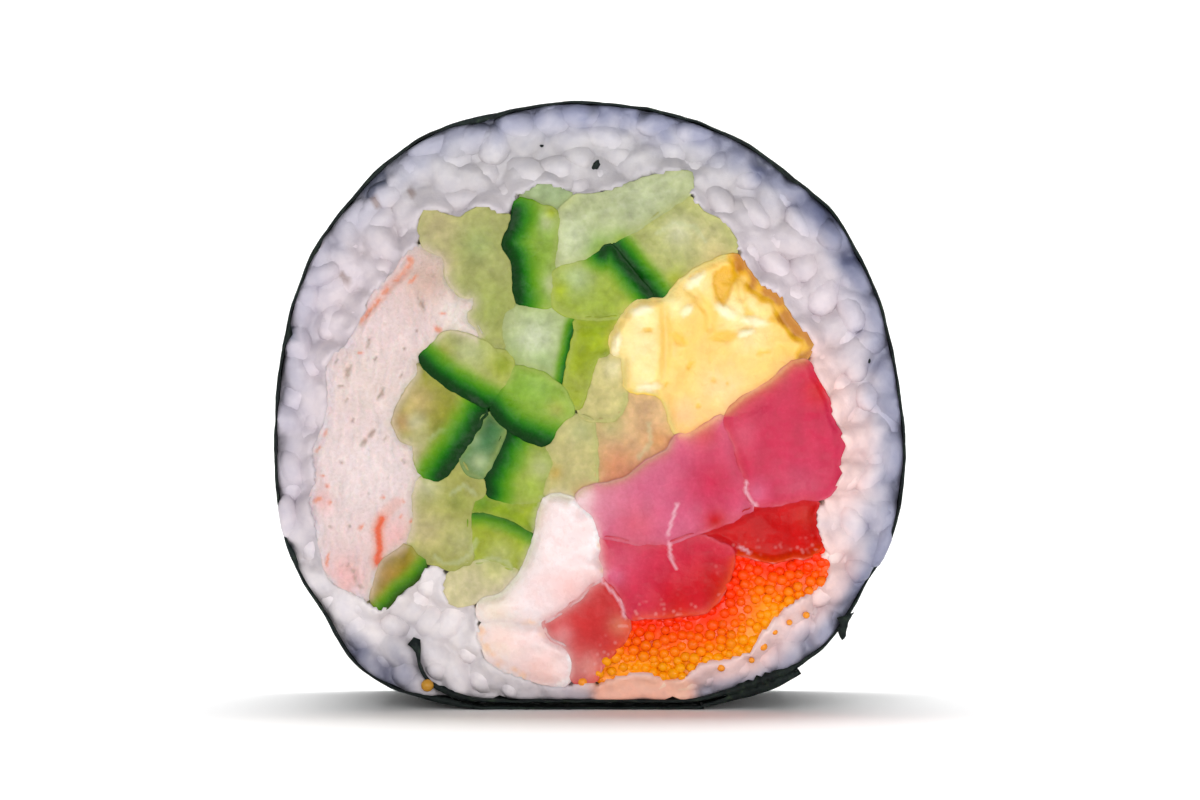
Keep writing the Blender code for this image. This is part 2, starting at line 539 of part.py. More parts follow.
def add_nori(line):
    """The sheet: a strip of its own thickness along the centre line, as deep as the slice."""
    normals = left_normals(line, False)
    half = NORI_THICK / 2
    made = bmesh.new()
    rings = []
    for p, n in zip(line, normals):
        outer, inner = p - n * half, p + n * half
        if outer.y < FOOT_SNAP:
            outer.y = 0.0
        rings.append([made.verts.new((q.x, y, q.y))
                      for q, y in ((outer, FRONT), (inner, FRONT), (inner, BACK), (outer, BACK))])
    for a, b in zip(rings, rings[1:]):
        for k in range(4):
            made.faces.new((a[k], a[(k + 1) % 4], b[(k + 1) % 4], b[k]))
    made.faces.new(rings[0])
    made.faces.new(rings[-1][::-1])
    return add_object("nori", made, "nori")


def rice_outline(line, tail_count, turn_end):
    """The rice's outer edge: the sheet's inner side for one turn, then back round the tail that sticks in."""
    normals = left_normals(line, False)
    off = NORI_THICK / 2 + GAP
    inner_side = [line[i] + normals[i] * off for i in range(turn_end)]
    tail_back = [line[i] - normals[i] * off for i in range(tail_count) if line[i].y > POCKET_TOP_Z]
    tip = line[0] + (line[0] - line[1]).normalized() * off
    loop = inner_side + tail_back[::-1] + [tip]
    return loop if signed_area(loop) > 0 else loop[::-1]


def ellipsoid(made, middle, half_sizes, turn, sides, rings):
    """Adds a low ellipsoid whose poles are at the ends of its third axis."""
    place = Matrix.Translation(middle) @ turn.to_4x4() @ Matrix.Diagonal((*half_sizes, 1.0))
    bmesh.ops.create_uvsphere(made, u_segments=sides, v_segments=rings, radius=1.0, matrix=place)


def scattered(rng, loops, tries, spacing, margin):
    """Random points inside the first loop and outside the others, at least the spacing apart."""
    xs = [p.x for p in loops[0]]
    zs = [p.y for p in loops[0]]
    kept = []
    for _ in range(tries):
        point = Vector((rng.uniform(min(xs), max(xs)), rng.uniform(min(zs), max(zs))))
        if any((point - other).length < spacing for other in kept):
            continue
        if not inside(point, loops[0]) or any(inside(point, hole) for hole in loops[1:]):
            continue
        if all(edge_distance(point, loop) > margin for loop in loops):
            kept.append(point)
    return kept


def grain_fits(middle, half_sizes, turn, loops):
    """True if the grain's outline on the cut stays in the rice."""
    for k in range(10):
        a = math.tau * k / 10
        for b in (-0.8, 0.0, 0.8):
            local = Vector((half_sizes[0] * math.cos(a) * math.cos(b),
                            half_sizes[1] * math.sin(b),
                            half_sizes[2] * math.sin(a) * math.cos(b)))
            p = turn @ local
            flat = Vector((middle.x + p.x, middle.z + p.z))
            if not inside(flat, loops[0]) or any(inside(flat, hole) for hole in loops[1:]):
                return False
    return True


def grains_on(side, loops, collection):
    """Grains over one cut face, each turned until it fits between the sheet and the fillings."""
    rng = random.Random(GRAIN_SEEDS[side])
    for point in scattered(rng, loops, GRAIN_TRIES, GRAIN_SPACING, GRAIN_WIDTH[0] / 2 * GRAIN_CLEAR):
        length, width = rng.uniform(*GRAIN_LENGTH), rng.uniform(*GRAIN_WIDTH)
        for attempt in range(GRAIN_TURNS):
            shrink = 1 - GRAIN_SHRINK * attempt / GRAIN_TURNS
            lie = rng.uniform(0, math.pi)
            tilt = rng.uniform(-GRAIN_TILT, GRAIN_TILT) * (0.5 + attempt / GRAIN_TURNS)
            turn = Matrix.Rotation(lie, 3, "Y") @ Matrix.Rotation(tilt, 3, "X")
            half = (width / 2 * min(1, shrink + 0.1), width / 2 * GRAIN_FLATNESS, length / 2 * shrink)
            reach = math.hypot(*(turn[1][k] * half[k] for k in range(3)))
            out = SLICE_THICK / 2 + rng.uniform(*GRAIN_PROUD) - reach
            middle = Vector((point.x, side * out, point.y))
            if grain_fits(middle, [h + GRAIN_MARGIN for h in half], turn, loops):
                made = bmesh.new()
                ellipsoid(made, middle, half, turn, GRAIN_SIDES, GRAIN_RINGS)
                add_object("grain", made, "rice", collection)
                break


def beads_on(side, loop, collection):
    """Roe over one cut face, half sunk in the heap."""
    rng = random.Random(BEAD_SEEDS[side])
    for point in scattered(rng, [loop], BEAD_TRIES, BEAD_SPACING, BEAD_RADIUS[1] + BEAD_MARGIN):
        radius = rng.uniform(*BEAD_RADIUS)
        made = bmesh.new()
        y = side * (SLICE_THICK / 2 - ROE_SINK + radius * BEAD_PROUD)
        place = Matrix.Translation(swirled(point.x, y, point.y)) @ Matrix.Rotation(rng.uniform(0, 6), 4, "Y")
        bmesh.ops.create_icosphere(made, subdivisions=1, radius=radius, matrix=place)
        add_object("bead", made, "roe", collection)


def fuse(core, collection):
    """Joins a collection's pieces to the core as one solid, and leaves only its outer shell."""
    join = core.modifiers.new("join", "BOOLEAN")
    join.operation = "UNION"
    join.operand_type = "COLLECTION"
    join.collection = collection
    join.solver = "MANIFOLD"
    graph = bpy.context.evaluated_depsgraph_get()
    joined = bpy.data.meshes.new_from_object(core.evaluated_get(graph))
    core.modifiers.clear()
    core.data = joined
    for thing in list(collection.objects):
        bpy.data.objects.remove(thing)
    bpy.data.collections.remove(collection)
    shell = bmesh.new()
    shell.from_mesh(joined)
    unseen = set(shell.verts)
    parts = []
    while unseen:
        part, front = set(), [unseen.pop()]
        while front:
            vertex = front.pop()
            part.add(vertex)
            near = {edge.other_vert(vertex) for edge in vertex.link_edges} & unseen
            unseen -= near
            front += near
        parts.append(part)
    parts.sort(key=len)
    bmesh.ops.delete(shell, geom=[v for part in parts[:-1] for v in part], context="VERTS")
    shell.to_mesh(joined)
    shell.free()
    return core


def new_collection(name):
    made = bpy.data.collections.new(name)
    bpy.context.scene.collection.children.link(made)
    return made


def add_rice(outer, hole):
    """The rice ring: a core a little behind the cut, with the grains that show fused on."""
    core = add_object("rice", slab([outer, hole], FRONT + RICE_SINK, BACK - RICE_SINK), "rice")
    grains = new_collection("grains")
    back_loops = []
    for loop in (outer, hole):
        back_loops.append([Vector((q.x, q.z)) for q in (swirled(p.x, BACK, p.y) for p in loop)])
    grains_on(-1, [outer, hole], grains)
    grains_on(1, back_loops, grains)
    return fuse(core, grains)


def add_roe(curves):
    """The heap of roe: a core along the fish, with the beads that show fused on."""
    outline = corners_cut(shifted(outline_of("roe", curves), GAP / 2))
    core = add_object("roe", slab([outline], FRONT + ROE_SINK, BACK - ROE_SINK), "roe")
    beads = new_collection("beads")
    for side in (-1, 1):
        beads_on(side, outline, beads)
    return fuse(core, beads)


def build():
    clear_scene()
    curves = [(first, second, spline(points, False, OUTLINE_STEP)) for first, second, points in BORDERS]
    line, tail_count, turn_end = nori_centre_line()
    add_nori(line)
    add_rice(rice_outline(line, tail_count, turn_end), shifted(outline_of("rice", curves), -GAP / 2))
    for piece in FILLINGS:
        add_filling(piece, curves)
    add_roe(curves)


build()
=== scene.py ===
"""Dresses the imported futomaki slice: seaweed, rice, and the cut fillings, on a pale table in soft light.

Lengths are millimetres until a mesh is made. Points on the cut face are (x, z) pairs.
"""

import math
import random

import bmesh
import bpy
import numpy as np
from mathutils import Matrix, Vector, noise
from mathutils.geometry import delaunay_2d_cdt


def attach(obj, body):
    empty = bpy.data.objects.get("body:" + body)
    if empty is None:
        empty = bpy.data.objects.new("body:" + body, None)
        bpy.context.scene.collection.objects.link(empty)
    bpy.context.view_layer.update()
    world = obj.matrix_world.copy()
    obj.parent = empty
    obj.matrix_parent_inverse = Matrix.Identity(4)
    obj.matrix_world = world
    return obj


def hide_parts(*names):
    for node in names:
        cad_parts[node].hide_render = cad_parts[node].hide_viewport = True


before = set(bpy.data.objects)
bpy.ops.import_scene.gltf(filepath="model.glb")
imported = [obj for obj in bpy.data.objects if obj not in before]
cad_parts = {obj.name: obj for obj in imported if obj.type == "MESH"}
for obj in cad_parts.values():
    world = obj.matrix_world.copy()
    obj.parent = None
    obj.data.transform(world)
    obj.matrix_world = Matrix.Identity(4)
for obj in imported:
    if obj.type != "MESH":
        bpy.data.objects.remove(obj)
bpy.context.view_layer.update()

# Wrapper
# The real one is a sheet of dried, pressed seaweed, a quarter of a millimetre thick, softened by the
# damp rice. It wraps the roll once and laps under the slice; the knife leaves its edge a little ragged.

MM = 0.001
CUT = 11.0  # the cut faces lie this far in front of and behind the middle
CENTRE = np.array((0.0, 28.5))  # of the roll, on the cut
NORI_THICK = 0.22
SOLID_THICK = 0.4  # the sheet's own in the solids
TAIL_TIP = (-17.3, 6.3)
TAIL_POINTS = 6  # the inner end's points, before it joins the turn
NORI_STEP = 0.45
NORI_DEPTHS = 34
RAGGED = 0.22
# Where the sheet is crumpled and looks thicker: x, z, reach along it, added thickness
CRUMPLES = (
    (16.6, 2.0, 3.6, 0.8), (-13.8, 1.0, 2.4, 0.45), (-17.0, 6.0, 0.9, 0.9), (-10.4, 56.4, 2.4, 0.45),
    (-20.2, 51.6, 1.2, 0.2), (-28.9, 35.8, 0.8, 0.5), (-26.4, 43.8, 1.2, 0.25), (-28.6, 14.6, 0.9, 0.4),
    (18.6, 51.4, 1.4, 0.3))
# Where its edge stops short and the rice bulges past it: x, z, reach along it, how far it stops short
BARE = ((27.0, 13.0, 3.4, 1.5), (-29.7, 18.3, 1.8, 1.2))
SCRAP = (
    (25.2, 9.3), (24.4, 9.0), (23.5, 8.7), (23.9, 8.1), (23.6, 7.5), (24.0, 6.6), (24.4, 7.1),
    (24.5, 7.9), (24.7, 8.5))
SCRAP_THICK = 0.7
# The rings of points that make it: share of its width, depth
SCRAP_RINGS = ((0.55, 0.0), (0.95, 0.1), (1.0, 0.25), (0.9, SCRAP_THICK), (0.5, SCRAP_THICK + 0.1))


def cut_outline(node):
    """The edge of a solid's front cut, counter-clockwise as the camera sees it."""
    shape = bmesh.new()
    shape.from_mesh(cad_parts[node].data)
    bmesh.ops.remove_doubles(shape, verts=shape.verts, dist=1e-6)
    shape.normal_update()
    caps = {face for face in shape.faces if face.normal.y < -0.5}
    onward = {}
    for face in caps:
        for loop in face.loops:
            if not any(other in caps for other in loop.edge.link_faces if other is not face):
                onward[loop.vert] = loop.link_loop_next.vert
    start = max(onward, key=lambda vert: vert.co.z)
    line = [start]
    while onward[line[-1]] is not start:
        line.append(onward[line[-1]])
    points = np.array([(v.co.x, v.co.z) for v in line]) / MM
    shape.free()
    return points


def resampled(line, step, closed=True):
    """Points about a step apart along a smooth curve through the line's points."""
    ends = (line[-1:], line[:2]) if closed else ([2 * line[0] - line[1]], [2 * line[-1] - line[-2]])
    line = np.concatenate([ends[0], line, ends[1]])
    curve = []
    for a, b, c, d in zip(line, line[1:], line[2:], line[3:]):
        pieces = max(1, round(float(np.linalg.norm(c - b)) / step))
        for t in np.arange(pieces) / pieces:
            curve.append(0.5 * (2 * b + (c - a) * t + (2 * a - 5 * b + 4 * c - d) * t ** 2
                                + (3 * b - a - 3 * c + d) * t ** 3))
    return np.array(curve if closed else curve + [line[-2]])


def segments(line, closed=True):
    return np.stack([line, np.roll(line, -1, axis=0)], axis=1)[:None if closed else -1]


def nearest(points, pieces):
    """How far each point is from the nearest of the line segments, and where it meets it."""
    a, b = pieces[:, 0], pieces[:, 1]
    along = b - a
    squares = np.maximum((along ** 2).sum(1), 1e-12)
    best, meets = np.full(len(points), np.inf), np.zeros((len(points), 2))
    for start in range(0, len(points), 4000):
        p = points[start:start + 4000, None]
        t = np.clip(((p - a) * along).sum(2) / squares, 0, 1)
        foot = a + t[..., None] * along
        gap = ((p - foot) ** 2).sum(2)
        pick = gap.argmin(1)
        rows = np.arange(len(pick))
        best[start:start + 4000] = np.sqrt(gap[rows, pick])
        meets[start:start + 4000] = foot[rows, pick]
    return best, meets


def distance(points, pieces):
    return nearest(points, pieces)[0]


def off_line(points, line, closed=True):
    """How far each point is from a line through points."""
    return distance(points, segments(np.asarray(line, float), closed))


def soft_noise(points, size, seed):
    """Smooth noise, from about -0.7 to 0.7, with lumps of that size."""
    return np.array([noise.noise((p[0] / size, p[1] / size, seed)) for p in points])


def uneven(points, amount, size, seed):
    """The points pushed about by that amount of soft noise."""
    return points + amount * np.stack([soft_noise(points, size, seed + i) for i in (0, 1)], axis=1)


def smooth(edge0, edge1, value):
    t = np.clip((value - edge0) / (edge1 - edge0), 0, 1)
    return t * t * (3 - 2 * t)


def spot(points, x, z, reach):
    """One at a place, fading out over its reach."""
    return np.exp(-(np.linalg.norm(points - (x, z), axis=1) / reach) ** 2)


def put(name, data):
    made = bpy.data.objects.new(name, data)
    bpy.context.scene.collection.objects.link(made)
    return made


def make_piece(name, verts, faces, material, nodes, tint=None):
    """A mesh in the scene that stands for those solids, with a colour at each point if there is one."""
    mesh = bpy.data.meshes.new(name)
    mesh.from_pydata((np.asarray(verts) * MM).tolist(), [], faces)
    mesh.materials.append(material)
    mesh.shade_smooth()
    if tint is not None:
        layer = mesh.attributes.new("tint", "FLOAT_COLOR", "POINT")
        colours = np.ones((len(verts), 4), np.float32)
        colours[:, :3] = tint
        layer.data.foreach_set("color", colours.ravel())
    mesh.validate()
    piece = put(name, mesh)
    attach(piece, "root")
    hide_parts(*nodes)


def joined(rings):
    """Faces between rings that have as many points each."""
    count = len(rings[0])
    return [(a[i], b[i], b[(i + 1) % count], a[(i + 1) % count])
            for a, b in zip(rings, rings[1:]) for i in range(count)]


class Look:
    """A Principled material that is put together node by node."""

    def __init__(self, name, **values):
        self.material = bpy.data.materials.new(name)
        self.material.use_nodes = True
        self.tree = self.material.node_tree
        self.shader = self.tree.nodes["Principled BSDF"]
        self.place = self.add("ShaderNodeTexCoord").outputs["Object"]
        for key, value in values.items():
            self.shader.inputs[key.replace("_", " ")].default_value = value

    def add(self, kind, **settings):
        made = self.tree.nodes.new(kind)
        for key, value in settings.items():
            setattr(made, key, value)
        return made

    def join(self, out, into):
        self.tree.links.new(out, into)

    def noise(self, size, detail=3.0, roughness=0.55):
        """Noise with lumps of that size in millimetres."""
        made = self.add("ShaderNodeTexNoise")
        made.inputs["Scale"].default_value = 1 / (size * MM)
        made.inputs["Detail"].default_value = detail
        made.inputs["Roughness"].default_value = roughness
        self.join(self.place, made.inputs["Vector"])
        return made.outputs["Fac"]

    def ramp(self, value, *stops):
        made = self.add("ShaderNodeValToRGB")
        marks = made.color_ramp.elements
        while len(marks) < len(stops):
            marks.new(0.5)
        for mark, (position, colour) in zip(marks, stops):
            mark.position = position
            mark.color = (*colour, 1.0) if isinstance(colour, tuple) else (colour, colour, colour, 1.0)
        self.join(value, made.inputs["Fac"])
        return made.outputs["Color"]

    def mix(self, how, amount, first, second):
        made = self.add("ShaderNodeMix", data_type="RGBA", blend_type=how)
        for socket, value in zip((made.inputs[0], made.inputs[6], made.inputs[7]), (amount, first, second)):
            if isinstance(value, bpy.types.NodeSocket):
                self.join(value, socket)
            elif isinstance(value, tuple):
                socket.default_value = (*value, 1.0)
            else:
                socket.default_value = value
        return made.outputs[2]

    def tint(self):
        return self.add("ShaderNodeAttribute", attribute_name="tint").outputs["Color"]

    def bump(self, height, depth, under=None):
        """Relief of that depth in millimetres."""
        made = self.add("ShaderNodeBump")
        made.inputs["Strength"].default_value = 1.0
        made.inputs["Distance"].default_value = depth * MM
        self.join(height, made.inputs["Height"])
        if under:
            self.join(under, made.inputs["Normal"])
        return made.outputs["Normal"]

    def wear(self, colour, normal=None, roughness=None):
        self.join(colour, self.shader.inputs["Base Color"])
        if normal:
            self.join(normal, self.shader.inputs["Normal"])
        if roughness:
            self.join(roughness, self.shader.inputs["Roughness"])
        return self.material


def nori_lines():
    """The sheet's outer side from its inner end to its outer end, and its inner side in the same order."""
    rim = cut_outline("nori")
    steps = np.linalg.norm(np.roll(rim, -1, axis=0) - rim, axis=1)
    first, last = sorted(np.argsort(np.abs(steps - SOLID_THICK))[:2])
    sides = rim[first + 1:last + 1], np.concatenate([rim[last + 1:], rim[:first + 1]])
    sides = sorted(sides, key=lambda line: -np.linalg.norm(line - CENTRE, axis=1).mean())
    return [line if np.linalg.norm(line[0] - TAIL_TIP) < 3 else line[::-1] for line in sides]


nori_outer, nori_inner = nori_lines()
lap_start = len(nori_outer) // 3
last_turn = int(np.linalg.norm(nori_outer[:lap_start] - nori_outer[-1], axis=1).argmin())
roll_outline = nori_outer[last_turn:]
nori_segments = np.concatenate([segments(nori_inner, False), segments(nori_outer, False)])
half = len(nori_inner) // 2
to_tail = nori_inner[half:] - nori_inner[TAIL_POINTS - 1]
turn_end = half + int(np.linalg.norm(to_tail, axis=1).argmin())
inner_wall = nori_inner[TAIL_POINTS:turn_end]


def near_any(points, places):
    """The largest, over the places, of their last number fading out over their reach."""
    return np.max([amount * spot(points, x, z, reach) for x, z, reach, amount in places], axis=0)


def wrap_nori():
    line = resampled(nori_outer, NORI_STEP, False)
    count = len(line)
    along = np.gradient(line, axis=0)
    along /= np.linalg.norm(along, axis=1)[:, None]
    inward = np.stack([-along[:, 1], along[:, 0]], axis=1)
    inward *= -np.sign((inward * (line - CENTRE)).sum(1).mean())
    crumpled = near_any(line, CRUMPLES)
    short = near_any(line, BARE)
    rough = soft_noise(line, 1.6, 3.0)
    fine = soft_noise(line, 0.5, 8.0)
    by_the_cut = np.array((0, 0.25, 0.7))
    between = np.linspace(1.4, 2 * CUT - 1.4, NORI_DEPTHS)
    depths = np.concatenate([by_the_cut, between, 2 * CUT - by_the_cut[::-1]]) - CUT
    verts = []
    for i in range(count):
        front = RAGGED * (1 + rough[i] + 1.4 * fine[i]) + short[i]
        back = RAGGED * (1 + rough[-i - 1] + 1.4 * fine[-i - 1])
        for y in depths:
            near = math.exp(-(y + CUT) / 1.6)
            thick = NORI_THICK * (1 + 0.5 * rough[i])
            thick += crumpled[i] * (0.4 + 0.6 * near) * (1 + 0.5 * fine[i])
            wrinkle = 0.05 + 0.09 * noise.noise((line[i][0] / 2.2, y / 2.2, line[i][1] / 2.2))
            wrinkle *= smooth(0.0, 1.0, line[i][1])
            rim_y = -CUT + front + (y + CUT) * (2 * CUT - front - back) / (2 * CUT)
            for deep in (wrinkle, wrinkle + thick):
                p = line[i] + inward[i] * deep
                verts.append((p[0], rim_y, max(p[1], 0.0)))
    rows = len(depths)
    faces = []
    for i in range(count - 1):
        for j in range(rows - 1):
            a, b = 2 * (i * rows + j), 2 * ((i + 1) * rows + j)
            faces.append((a, a + 2, b + 2, b))
            faces.append((a + 1, b + 1, b + 3, a + 3))
        for j, turn in ((0, -1), (rows - 1, 1)):
            a, b = 2 * (i * rows + j), 2 * ((i + 1) * rows + j)
            faces.append((a, a + 1, b + 1, b)[::turn])
    for i, turn in ((0, -1), (count - 1, 1)):
        for j in range(rows - 1):
            a = 2 * (i * rows + j)
            faces.append((a, a + 2, a + 3, a + 1)[::turn])
    return verts, faces


def nori_look():
    look = Look("nori", Specular_IOR_Level=0.14, Coat_Weight=0.03, Coat_Roughness=0.3)
    fibre = look.noise(0.7, 5.0, 0.7)
    patch = look.noise(3.4, 4.0, 0.65)
    colour = look.ramp(fibre, (0.3, (0.005, 0.008, 0.011)), (0.56, (0.015, 0.024, 0.021)),
                       (0.75, (0.046, 0.072, 0.04)))
    colour = look.mix("MULTIPLY", 0.75, colour, look.ramp(patch, (0.38, 0.3), (0.62, 1.0)))
    normal = look.bump(fibre, 0.2, look.bump(patch, 0.5))
    return look.wear(colour, normal, look.ramp(fibre, (0.3, 0.42), (0.7, 0.68)))


def torn_scrap():
    """A curled, torn corner of the sheet at the front of the cut."""
    line = resampled(np.array(SCRAP), 0.3)
    line = uneven(line, 0.12, 0.3, 11.0)
    middle = line.mean(axis=0)
    count = len(line)
    rings = []
    for shrink, deep in SCRAP_RINGS:
        ring = middle + (line - middle) * shrink
        y = -CUT - 0.15 + deep + 0.15 * soft_noise(ring, 0.6, 13.0)
        rings.append(np.stack([ring[:, 0], y, ring[:, 1]], axis=1))
    faces = [tuple(range(count)), tuple(range(5 * count - 1, 4 * count - 1, -1))]
    faces += joined([range(k * count, (k + 1) * count) for k in range(5)])
    return np.concatenate(rings), faces


nori = nori_look()
verts, faces = wrap_nori()
make_piece("nori_sheet", verts, faces, nori, ["nori"])
verts, faces = torn_scrap()
make_piece("nori_scrap", verts, faces, nori, ["nori"])

# Rice
# Cooked short-grain rice, each grain about five millimetres by three, plump and sticky. Next to the seaweed
# the grains are glassy and take its blue-grey, with painted shade added there, most at the upper right;
# inwards they are whiter and pressed together.

RICE_SEED = 7
GRAIN_SIDES = 12
GRAIN_RINGS = 8
PASTE_GRID = 0.36
PASTE_SINK = 1.5
PASTE_LUMP = 1.25
PASTE_RISE = 0.85  # beside the fillings
GRAIN_SPACING = 2.55
LUMP_SPACING = 2.7
GRAIN_TRIES = 12000
LUMP_TRIES = 9000
UNDER_FILLINGS = 2.4
POCKET_DEPTH = 1.2
GRAIN_CHECK = 0.84  # the share of a grain's reach that is kept clear of the fillings
GRAIN_OVER = 0.4  # how far it may lap over them
# Hollows under the seaweed: x, z, half length along it
POCKETS = (
    (-28.9, 36.0, 0.9), (-28.9, 15.0, 0.8), (-20.7, 50.2, 2.0), (-9.6, 56.2, 1.6), (0.0, 57.2, 0.6),
    (5.3, 56.8, 0.6), (16.5, 52.4, 0.9), (19.2, 50.8, 0.7), (24.4, 8.6, 0.9))
# By the seaweed the rice is tinted grey and blue-grey: partly the glassy grains over the dark sheet, partly
# painted shade
RICE_RIM = (0.24, 0.26, 0.4)
RICE_GREY = (0.58, 0.57, 0.68)
RICE_TOP = (0.66, 0.63, 0.64)
RICE_WHITE = (0.78, 0.68, 0.71)
# Painted light: the lower left of the rice is painted brighter
RICE_PAINTED_LIGHT = (0.96, 0.88, 0.87)
# Over one, because every grain carries painted shade; these fish stains are also set high as painted light,
# for the lower rice that the lamps light less
RICE_WARM = (1.15, 0.79, 0.72)
RICE_PEACH = (1.25, 0.63, 0.44)
# Painted shade for the cracks between grains
RICE_CRACK_SHADE = (0.3, 0.2, 0.17)
# Painted shade in the hollows under the seaweed
POCKET_SHADE = (0.19, 0.2, 0.27)
# Painted shade in the gaps where two fillings meet
JUNCTION_SHADE = (0.26, 0.25, 0.06)
# Painted shade in corners of the rice beside the seaweed: the colour, then x, z, reach
RICE_CORNER_SHADE = (0.12, 0.14, 0.26)
SHADED_CORNERS = (
    (-19.2, 3.0, 3.0), (-22.4, 5.4, 2.2), (22.0, 47.6, 2.6), (25.2, 43.0, 2.0), (27.4, 11.6, 2.0),
    (16.0, 51.2, 1.6))
# How much painted shade the rim has: degrees round from the right, share
RIM_SHADE = (
    (-180, 0.27), (-155, 0.0), (-100, 0.0), (-60, 0.4), (-40, 0.7), (0, 0.72), (45, 0.68), (90, 0.85),
    (135, 0.3), (180, 0.27))
# Cracks between grains, painted with shade along these lines
RICE_CRACKS = (
    ((-20.7, 49.0), (-20.3, 48.0)), ((-17.2, 49.5), (-17.0, 49.1)), ((-23.7, 41.5), (-22.9, 40.7)),
    ((-26.5, 45.2), (-25.9, 44.1)))

# Grains that stand out: x, z, length, width, lie in degrees
MARKED_GRAINS = (
    (-12.5, 48.6, 5.0, 3.4, 5), (-19.3, 49.2, 4.2, 3.6, 20), (-22.6, 47.0, 4.4, 3.2, 50),
    (-9.0, 54.0, 4.4, 3.3, 70), (-13.2, 52.4, 4.6, 3.4, 10), (20.0, 46.2, 4.2, 3.2, 110),
    (15.6, 47.4, 4.6, 3.4, 140), (12.4, 48.4, 4.2, 3.0, 120), (22.6, 18.2, 4.6, 2.9, 100),
    (28.0, 15.6, 5.2, 2.8, 62), (-28.9, 18.2, 4.6, 2.4, 93), (17.6, 42.4, 4.4, 3.2, 130),
    (-22.6, 41.6, 5.0, 3.2, 60), (-24.6, 37.2, 4.6, 3.1, 75), (25.4, 33.2, 4.4, 3.0, 95),
    (24.9, 38.0, 4.4, 3.0, 110))


def inside(points, line):
    """Which of the points are in the closed line, by counting crossings."""
    a, b = line, np.roll(line, -1, axis=0)
    rise = np.where(b[:, 1] == a[:, 1], 1e-9, b[:, 1] - a[:, 1])
    x, z = points[:, :1], points[:, 1:]
    spans = (a[:, 1] > z) != (b[:, 1] > z)
    return ((x < a[:, 0] + (b[:, 0] - a[:, 0]) * (z - a[:, 1]) / rise) & spans).sum(1) % 2 == 1


def moved_in(line, amount):
    """A counter-clockwise line moved inwards, or outwards by a negative amount."""
    onward = np.roll(line, -1, axis=0) - line
    onward /= np.linalg.norm(onward, axis=1)[:, None]
    along = np.roll(onward, 1, axis=0) + onward
    along /= np.maximum(np.linalg.norm(along, axis=1), 1e-9)[:, None]
    return line + amount * np.stack([-along[:, 1], along[:, 0]], axis=1)


def stroke(points, line, width):
    """One along a line, falling to none past its width."""
    return smooth(1.35 * width, 0.5 * width, off_line(points, line, False))


class Heap:
    """Shapes gathered into one mesh, with a colour or a shade at each point."""

    def __init__(self):
        self.points, self.faces, self.tones, self.count = [], [], [], 0

    def add(self, points, faces, tone=()):
        self.faces += [tuple(self.count + i for i in face) for face in faces]
        self.points.append(points)
        self.tones.append(tone)
        self.count += len(points)

    def mesh(self):
        return np.concatenate(self.points), self.faces, np.concatenate(self.tones)


FILLING_NODES = [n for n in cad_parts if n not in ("nori", "rice")]
outlines = {node: resampled(moved_in(cut_outline(node), -0.12), 0.7) for node in FILLING_NODES}
filling_segments = np.concatenate([segments(line) for line in outlines.values()])
away_from_roll = off_line(nori_segments.mean(axis=1), roll_outline)
tail_segments = nori_segments[(away_from_roll > 0.8) & (nori_segments[:, 0, 1] > 0.6)]


def ball(sides, rings):
    """The points of a round ball, with its poles on the first axis, and its faces."""
    shape = bmesh.new()
    bmesh.ops.create_uvsphere(shape, u_segments=sides, v_segments=rings, radius=1)
    verts = np.array([tuple(vert.co) for vert in shape.verts])[:, [2, 0, 1]]
    faces = [tuple(vert.index for vert in face.verts) for face in shape.faces]
    shape.free()
    return verts, faces


def plump_grain():
    """A plump grain along its first axis, a little bent and blunter at one end."""
    verts, faces = ball(GRAIN_SIDES, GRAIN_RINGS)
    along = verts[:, 0]
    verts[:, 1:] *= ((1 - 0.1 * along) * np.maximum(1 - along ** 2, 1e-6) ** -0.1)[:, None]
    verts[:, 2] += 0.14 * along ** 2 - 0.05
    return verts, faces


def in_filling(points):
    return np.any([inside(points, line) for line in outlines.values()], axis=0)


def in_rice(points):
    return inside(points, inner_wall) & (distance(points, nori_segments) > 0.12) & ~in_filling(points)


def clear_of_fillings(points, over):
    """Whether none of the points is further inside a filling than over."""
    if distance(points, filling_segments).min() > 2.5 * over and in_rice(points[:1])[0]:
        return True
    deep = distance(points, filling_segments) > over
    return not (in_filling(points) & deep).any()


def near_pocket(points):
    """One in the hollows under the seaweed, falling to none around them."""
    along = np.max([spot(points, *pocket) for pocket in POCKETS], axis=0)
    deep = off_line(points, inner_wall) + 0.4 * soft_noise(points, 0.8, 22.0)
    return along * smooth(POCKET_DEPTH, 0.5 * POCKET_DEPTH, deep)


def lie_at(rng, point):
    """Grains lie along the seaweed beside it, and anyhow elsewhere."""
    if distance(np.array([point]), nori_segments)[0] < 3.2:
        return math.atan2(point[1] - CENTRE[1], point[0]) + math.pi / 2 + rng.gauss(0, 0.5)
    return rng.uniform(0, math.pi)


def blend(colour, other, amount):
    """colour, one for each point, mixed with another by an amount for each point."""
    amount = np.clip(amount, 0, 1)[:, None]
    return np.asarray(colour) * (1 - amount) + np.array(other) * amount


def scatter(rng, count, clear):
    """Points at random in the rice, clear of the seaweed by that much."""
    tries = np.array([(rng.uniform(-30, 30), rng.uniform(0.3, 57.8)) for _ in range(count)])
    return tries[in_rice(tries) & (distance(tries, nori_segments) > clear) & (near_pocket(tries) < 0.4)]


def room_for(rng, kept, point, spacing, spread=(0.85, 1.15)):
    if not kept:
        return True
    gaps = np.linalg.norm(np.array(kept) - point, axis=1)
    return (gaps > spacing * rng.uniform(*spread)).all()


def thinned(rng, points, *spacing):
    """The points without those that are too near to one before them."""
    kept = []
    for point in points:
        if room_for(rng, kept, point, *spacing):
            kept.append(point)
    return kept


